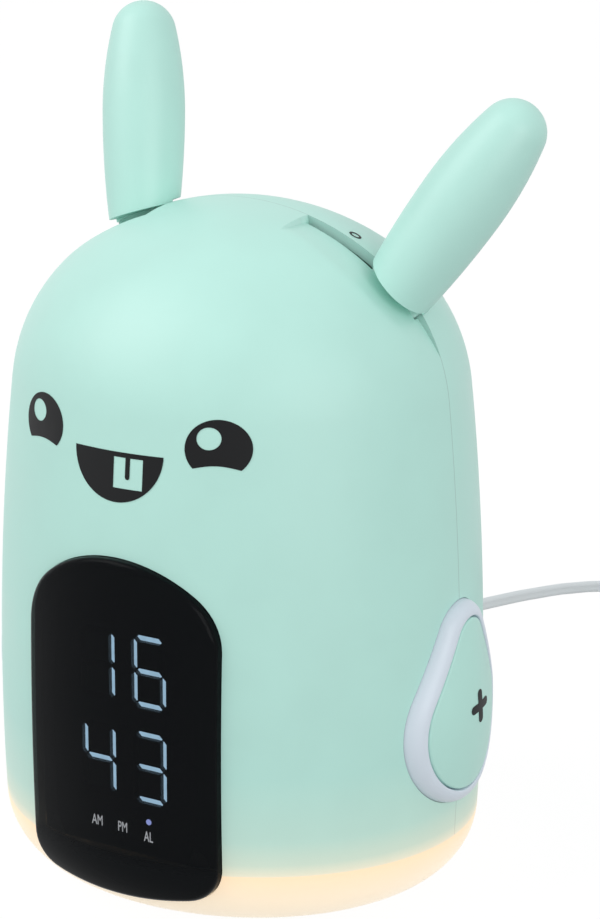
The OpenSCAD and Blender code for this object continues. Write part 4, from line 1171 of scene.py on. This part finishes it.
# %% [markdown]
# # The ears
# Each ear is a rounded paddle that swings on a lever through a slot in the shell, one up and one
# folded out. It is turned as on a lathe, tilted into place, and its root is cut away wherever the
# swing would drive it into the body: by the shoulder's arc in front, by the body's outline behind,
# and by a slight bevel. Cutters and booleans are used, because a cut by the swing's own arcs is
# right at every angle. The right ear is then folded out about its pivot, and the left one
# mirrored. The levers keep their CAD forms as merged copies.

# %% Ears and levers
ROOT_GAP, EAR_ROOT_Y, EAR_UP, EAR_FOLD = 0.5, -0.8, 18.5, 26
EAR_ROOT_R = SHOULDER_R + ROOT_GAP
EAR_BACK, EAR_OUT, EAR_BEVEL = 11.1, 6.8, 3
EAR_R, EAR_WIDEST, LOWER_BOW, UPPER_BOW = 8.95, 21.6, 190, 80
TIP_R, TIP_UP, TIP_FROM = 7, 38.36, 39.4
EAR_START, EAR_STEP, CUTTER = -14, 1.5, 60
PIVOT = Vector((SHOULDER_C[0], 0, SHOULDER_C[1])) * MM


def ear_profile():
    """Heights and radii of the turned paddle: a long bow, a rounder one and the tip."""
    profile = []
    z = EAR_START
    while z < TIP_FROM:
        bow = LOWER_BOW if z < EAR_WIDEST else UPPER_BOW
        profile.append((z, EAR_R - bow + math.sqrt(bow ** 2 - (z - EAR_WIDEST) ** 2)))
        z += EAR_STEP
    return profile + [on_circle((0, TIP_UP), TIP_R, a)[::-1] for a in range(14, 89, 6)]


def root_cutters(foot):
    """What the ear's root may not fill: in front, behind, and below the bevel."""
    front = [on_circle(SHOULDER_C, EAR_ROOT_R, a) for a in range(120, -31, -1)]
    bend = 90 - math.degrees(CROWN_A)
    rear = [on_circle(CROWN_C, CROWN_R + ROOT_GAP, 90 - 0.5 * k) for k in range(int(2 * bend))]
    rear += [point for k, point in enumerate(front) if k - 30 > bend]
    cutters = []
    for outline, y in ((front, -20), (rear, 20)):
        loops = [[(x, end, z) for x, z in outline + [(0, 100)]] for end in (y, EAR_ROOT_Y)]
        cutters.append(skin("root_cutter", loops))
    clear()
    bpy.ops.mesh.primitive_cube_add(size=CUTTER * MM)
    bevel = moved(start("root_bevel"), 0, -CUTTER / 2, -CUTTER / 2)
    bevel.location = foot
    bevel.rotation_euler = (-math.radians(EAR_BEVEL), math.radians(EAR_UP), 0)
    return cutters + [settle(bevel)]


def ear_paddle(name, side, fold):
    """A turned paddle, set on its lever's neck and cut to the path that it sweeps."""
    piece = rod(name, (0, 0, 0), "Z", ear_profile(), 96)
    up = math.radians(EAR_UP)
    foot = PIVOT + EAR_ROOT_R * MM * Vector((math.sin(up), 0, math.cos(up)))
    foot.y += EAR_ROOT_Y * MM
    piece.location = foot
    piece.rotation_euler = (-math.radians(EAR_BACK), math.radians(EAR_OUT), 0)
    settle(piece)
    for cutter in root_cutters(foot):
        cut(piece, cutter)
    if fold:
        take(piece)
        bpy.ops.transform.rotate(value=-math.radians(fold), orient_axis="Y", center_override=PIVOT)
    piece.scale.x = side
    settle(piece)
    return settle(welded(piece), 35)


for side, way, fold in (("right", 1, EAR_FOLD), ("left", -1, 0)):
    ear = ear_paddle(f"{side}_ear_paddle", way, fold)
    dress(ear, f"{side}_ear", "ear_plastic", mint_plastic, f"{side}_ear")
    lever = merged(f"{side}_lever", f"{side}_ear_lever", 35)
    dress(lever, f"{side}_ear", "lever_plastic", mint_plastic, f"{side}_ear_lever")
    reach = max(abs(v.co.x) for v in ear.data.vertices) / MM
    print(side, "ear reaches", round(reach, 1), "mm from the middle")

MARK_X, MARK_Y, OVERHEAD = 26.4, 2.9, 170
ring_mark = flat_shape("ear_off_mark", [oval(MARK_X, MARK_Y, r, r) for r in (1.25, 0.8)])
ring_mark = lay_on(moved(turned(ring_mark, x=-90), 0, 0, OVERHEAD), rear_shell, "Z")
dress(ring_mark, "housing", "mint_plastic", print_black)

# %% [markdown]
# # The back and the underside
# Three round keys set the clock from behind, each with a small sign, over a speaker grille. The
# housing and the base plate are closed with cross-head screws, and the clock stands on rubber
# feet. Keys, screw heads and feet are turned from short profiles, and the crosses are cut into the
# screws by booleans, because a real recess catches the light.

# %% Keys with signs
KEY_Z, KEY_DEEP, KEY_BACK_R, KEY_R, KEY_EDGE = LIFT + 65, 6.2, 3.6, 4.0, 0.7
HORN_LINE = 0.35
sun = [oval(0, 0, 1.0, 1.0, count=24)]
sun += [[on_circle((0, 0), r, 45 * k + a) for r, a in ((1.45, -7), (2.2, -5), (2.2, 5), (1.45, 7))]
        for k in range(8)]
horn = [[(-2.0, -0.6), (-1.0, -0.6), (0.3, -1.6), (0.3, 1.6), (-1.0, 0.6), (-2.0, 0.6)]]
for r in (1.0, 1.8):
    horn.append([on_circle((0.5, 0), r, a) for a in range(-45, 46, 9)]
                + [on_circle((0.5, 0), r - HORN_LINE, a) for a in range(45, -46, -9)])
for node, x, shapes in (("light_key", -14, sun), ("set_key", 0, None), ("sound_key", 14, horn)):
    high = (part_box(node)[1] / MM).y
    rounded = [on_circle((KEY_R - KEY_EDGE, high - KEY_EDGE), KEY_EDGE, a)[::-1]
               for a in range(18, 91, 18)]
    key = rod(f"{node}_cap", (x, 0, KEY_Z), "Y",
              [(high - KEY_DEEP, KEY_BACK_R), (high - KEY_EDGE, KEY_R)] + rounded, 64)
    inner = merged(f"{node}_inner", node)
    settle(key, 40)
    if shapes:
        sign = flat_shape(f"{node}_sign", shapes)
    else:
        sign = lettering(f"{node}_sign", "SET", 1.9, 0.9)
    sign = lay_on(moved(turned(sign, z=180), x, high + 5, KEY_Z), key, "Y")
    dress(key, node, "button_plastic", mint_plastic)
    dress(inner, node, "button_plastic", mint_plastic, node)
    dress(sign, node, "button_plastic", print_black)
print("keys made")

# %% Screw heads, feet, plate and cover
HEAD_PROFILE = [(0, 2.55), (0.55, 2.6), (0.85, 2.45), (1.02, 2.1), (1.1, 1.4)]
RECESS_DEEP = 0.6


def screw_head(name, centre, along, facing):
    """A pan head with a cross recess, facing up or down an axis."""
    head = rod(name, centre, along, [(step * facing, r) for step, r in HEAD_PROFILE], 40)
    at = Vector(centre) + HEAD_PROFILE[-1][0] * facing * AXES["XYZ".index(along)]
    for wide, tall in ((1.45, 0.3), (0.3, 1.45)):
        reach = Vector((wide, RECESS_DEEP, tall) if along == "Y" else (wide, tall, RECESS_DEEP))
        cut(head, block("recess_cutter", at - reach, at + reach))
    return settle(head, 35)


BASE_SCREWS = [(x, y, LIFT + 1.15) for x, y in ((30, 0), (-30, 0), (0, 26), (0, -26))]
HOUSING_SCREWS = [(side * x, 12.05, LIFT + z) for x, z in ((35, 26), (33, 95)) for side in (1, -1)]
for name, places, along, facing in (("base_screw", BASE_SCREWS, "Z", -1),
                                    ("housing_screw", HOUSING_SCREWS, "Y", 1)):
    heads = [screw_head(f"{name}_{k}", place, along, facing) for k, place in enumerate(places)]
    dress(join(f"{name}_heads", heads), "housing", "screw_steel", steel)

PAD_PROFILE = [(0.12, 1.5), (0, 2.6), (0, 3.4), (0.12, 3.8), (0.4, 4.0), (LIFT + 0.85, 4.0)]
pads = [rod(f"foot_{k}", (x, y, 0), "Z", PAD_PROFILE)
        for k, (x, y) in enumerate(((25, 19.5), (-25, 19.5), (25, -19.5), (-25, -19.5)))]
pads = settle(join("rubber_pads", pads), 40)
dress(pads, "housing", "foot_rubber", rubber, "rubber_feet")
plate = merged("floor_plate", "base_plate", 12)
lid = merged("cell_lid", "cell_cover")
dress(plate, "housing", "white_plastic", white_plastic, "base_plate")
dress(lid, "housing", "white_plastic", white_plastic, "cell_cover")
print("underside made")

# %% [markdown]
# # Inside the clock
# The boards, switches, speaker and screws inside keep their CAD shapes. They only show through
# gaps or when the clock is opened, and each still gets the finish of its real material. They could
# be modelled again, but their forms are right, so only their materials change.

# %% Finishes of the inner nodes
INNER = [
    (board_lacquer, ["light_board", "display_board", "arm_boards", "main_board"]),
    (black_plastic, ["arm_switches", "ear_switches", "key_switches", "speaker", "display_frame"]),
    (white_plastic, ["light_tray", "ear_frame"]),
    (steel, ["pivot_screws", "housing_screws", "base_screws", "board_screws", "frame_screws",
             "backup_cell"]),
    (lit("lamp_resin", tone(255, 236, 196), 0.6), ["light_lamps"]),
]
for material, names in INNER:
    for name in names:
        coat(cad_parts[name], material)
print("inner nodes finished:", sum(len(names) for _, names in INNER))

# %% [markdown]
# # A pale studio
# The clock stands on a plain white floor in even light, as on a product table. Two large soft
# lamps and a bright world light it; the background is white because the world and the floor are,
# where the camera, a reflection or a clear piece looks straight at them, and not because of
# stronger lamps.

# %% Floor, world and lamps
FLOOR_GREY, FLOOR_LIGHT, FLOOR_SHARE = 0.36, 1.2, 0.78
clear()
bpy.ops.mesh.primitive_plane_add(size=8)
floor = start("studio_floor")


def seen_directly(tree):
    """One where the camera, a mirror or a clear piece looks, else nought."""
    path = tree.nodes.new("ShaderNodeLightPath")
    total = path.outputs["Is Camera Ray"]
    for name in ("Is Glossy Ray", "Is Transmission Ray"):
        add = tree.nodes.new("ShaderNodeMath")
        add.operation = "MAXIMUM"
        link(tree, (total, add.inputs[0]), (path.outputs[name], add.inputs[1]))
        total = add.outputs[0]
    return total


floor_white = bpy.data.materials.new("floor_white")
floor_white.use_nodes = True
tree, shader = shader_of(floor_white)
set_sockets(shader, Base_Color=grey(FLOOR_GREY), Roughness=0.8)
light = tree.nodes.new("ShaderNodeEmission")
set_sockets(light, Color=grey(1), Strength=FLOOR_LIGHT)
mix = tree.nodes.new("ShaderNodeMixShader")
share = spread(tree, seen_directly(tree), 0.0, FLOOR_SHARE)
link(tree, (share, mix.inputs[0]), (shader.outputs[0], mix.inputs[1]),
     (light.outputs[0], mix.inputs[2]),
     (mix.outputs[0], tree.nodes["Material Output"].inputs["Surface"]))
coat(floor, floor_white)

world = bpy.data.worlds.new("studio_world")
bpy.context.scene.world = world
world.use_nodes = True
tree = world.node_tree
colour = ramp(tree, seen_directly(tree), (0.0, (0.65, 0.66, 0.67, 1)), (1.0, grey(1)))
link(tree, (colour, tree.nodes["Background"].inputs["Color"]))


def soft_lamp(name, place, aim, size, power):
    """A square soft box that looks at a point, places in metres."""
    clear()
    towards = (Vector(aim) - Vector(place)).to_track_quat("-Z", "Y")
    bpy.ops.object.light_add(type="AREA", location=place, rotation=towards.to_euler())
    lamp = start(name).data
    lamp.shape, lamp.size, lamp.energy = "SQUARE", size, power


soft_lamp("key_softbox", (-0.6, -0.65, 0.8), (0, 0, 0.1), 0.8, 5.2)
soft_lamp("fill_softbox", (0.95, -0.6, 0.35), (0, 0, 0.08), 0.8, 4.4)
print("studio ready")
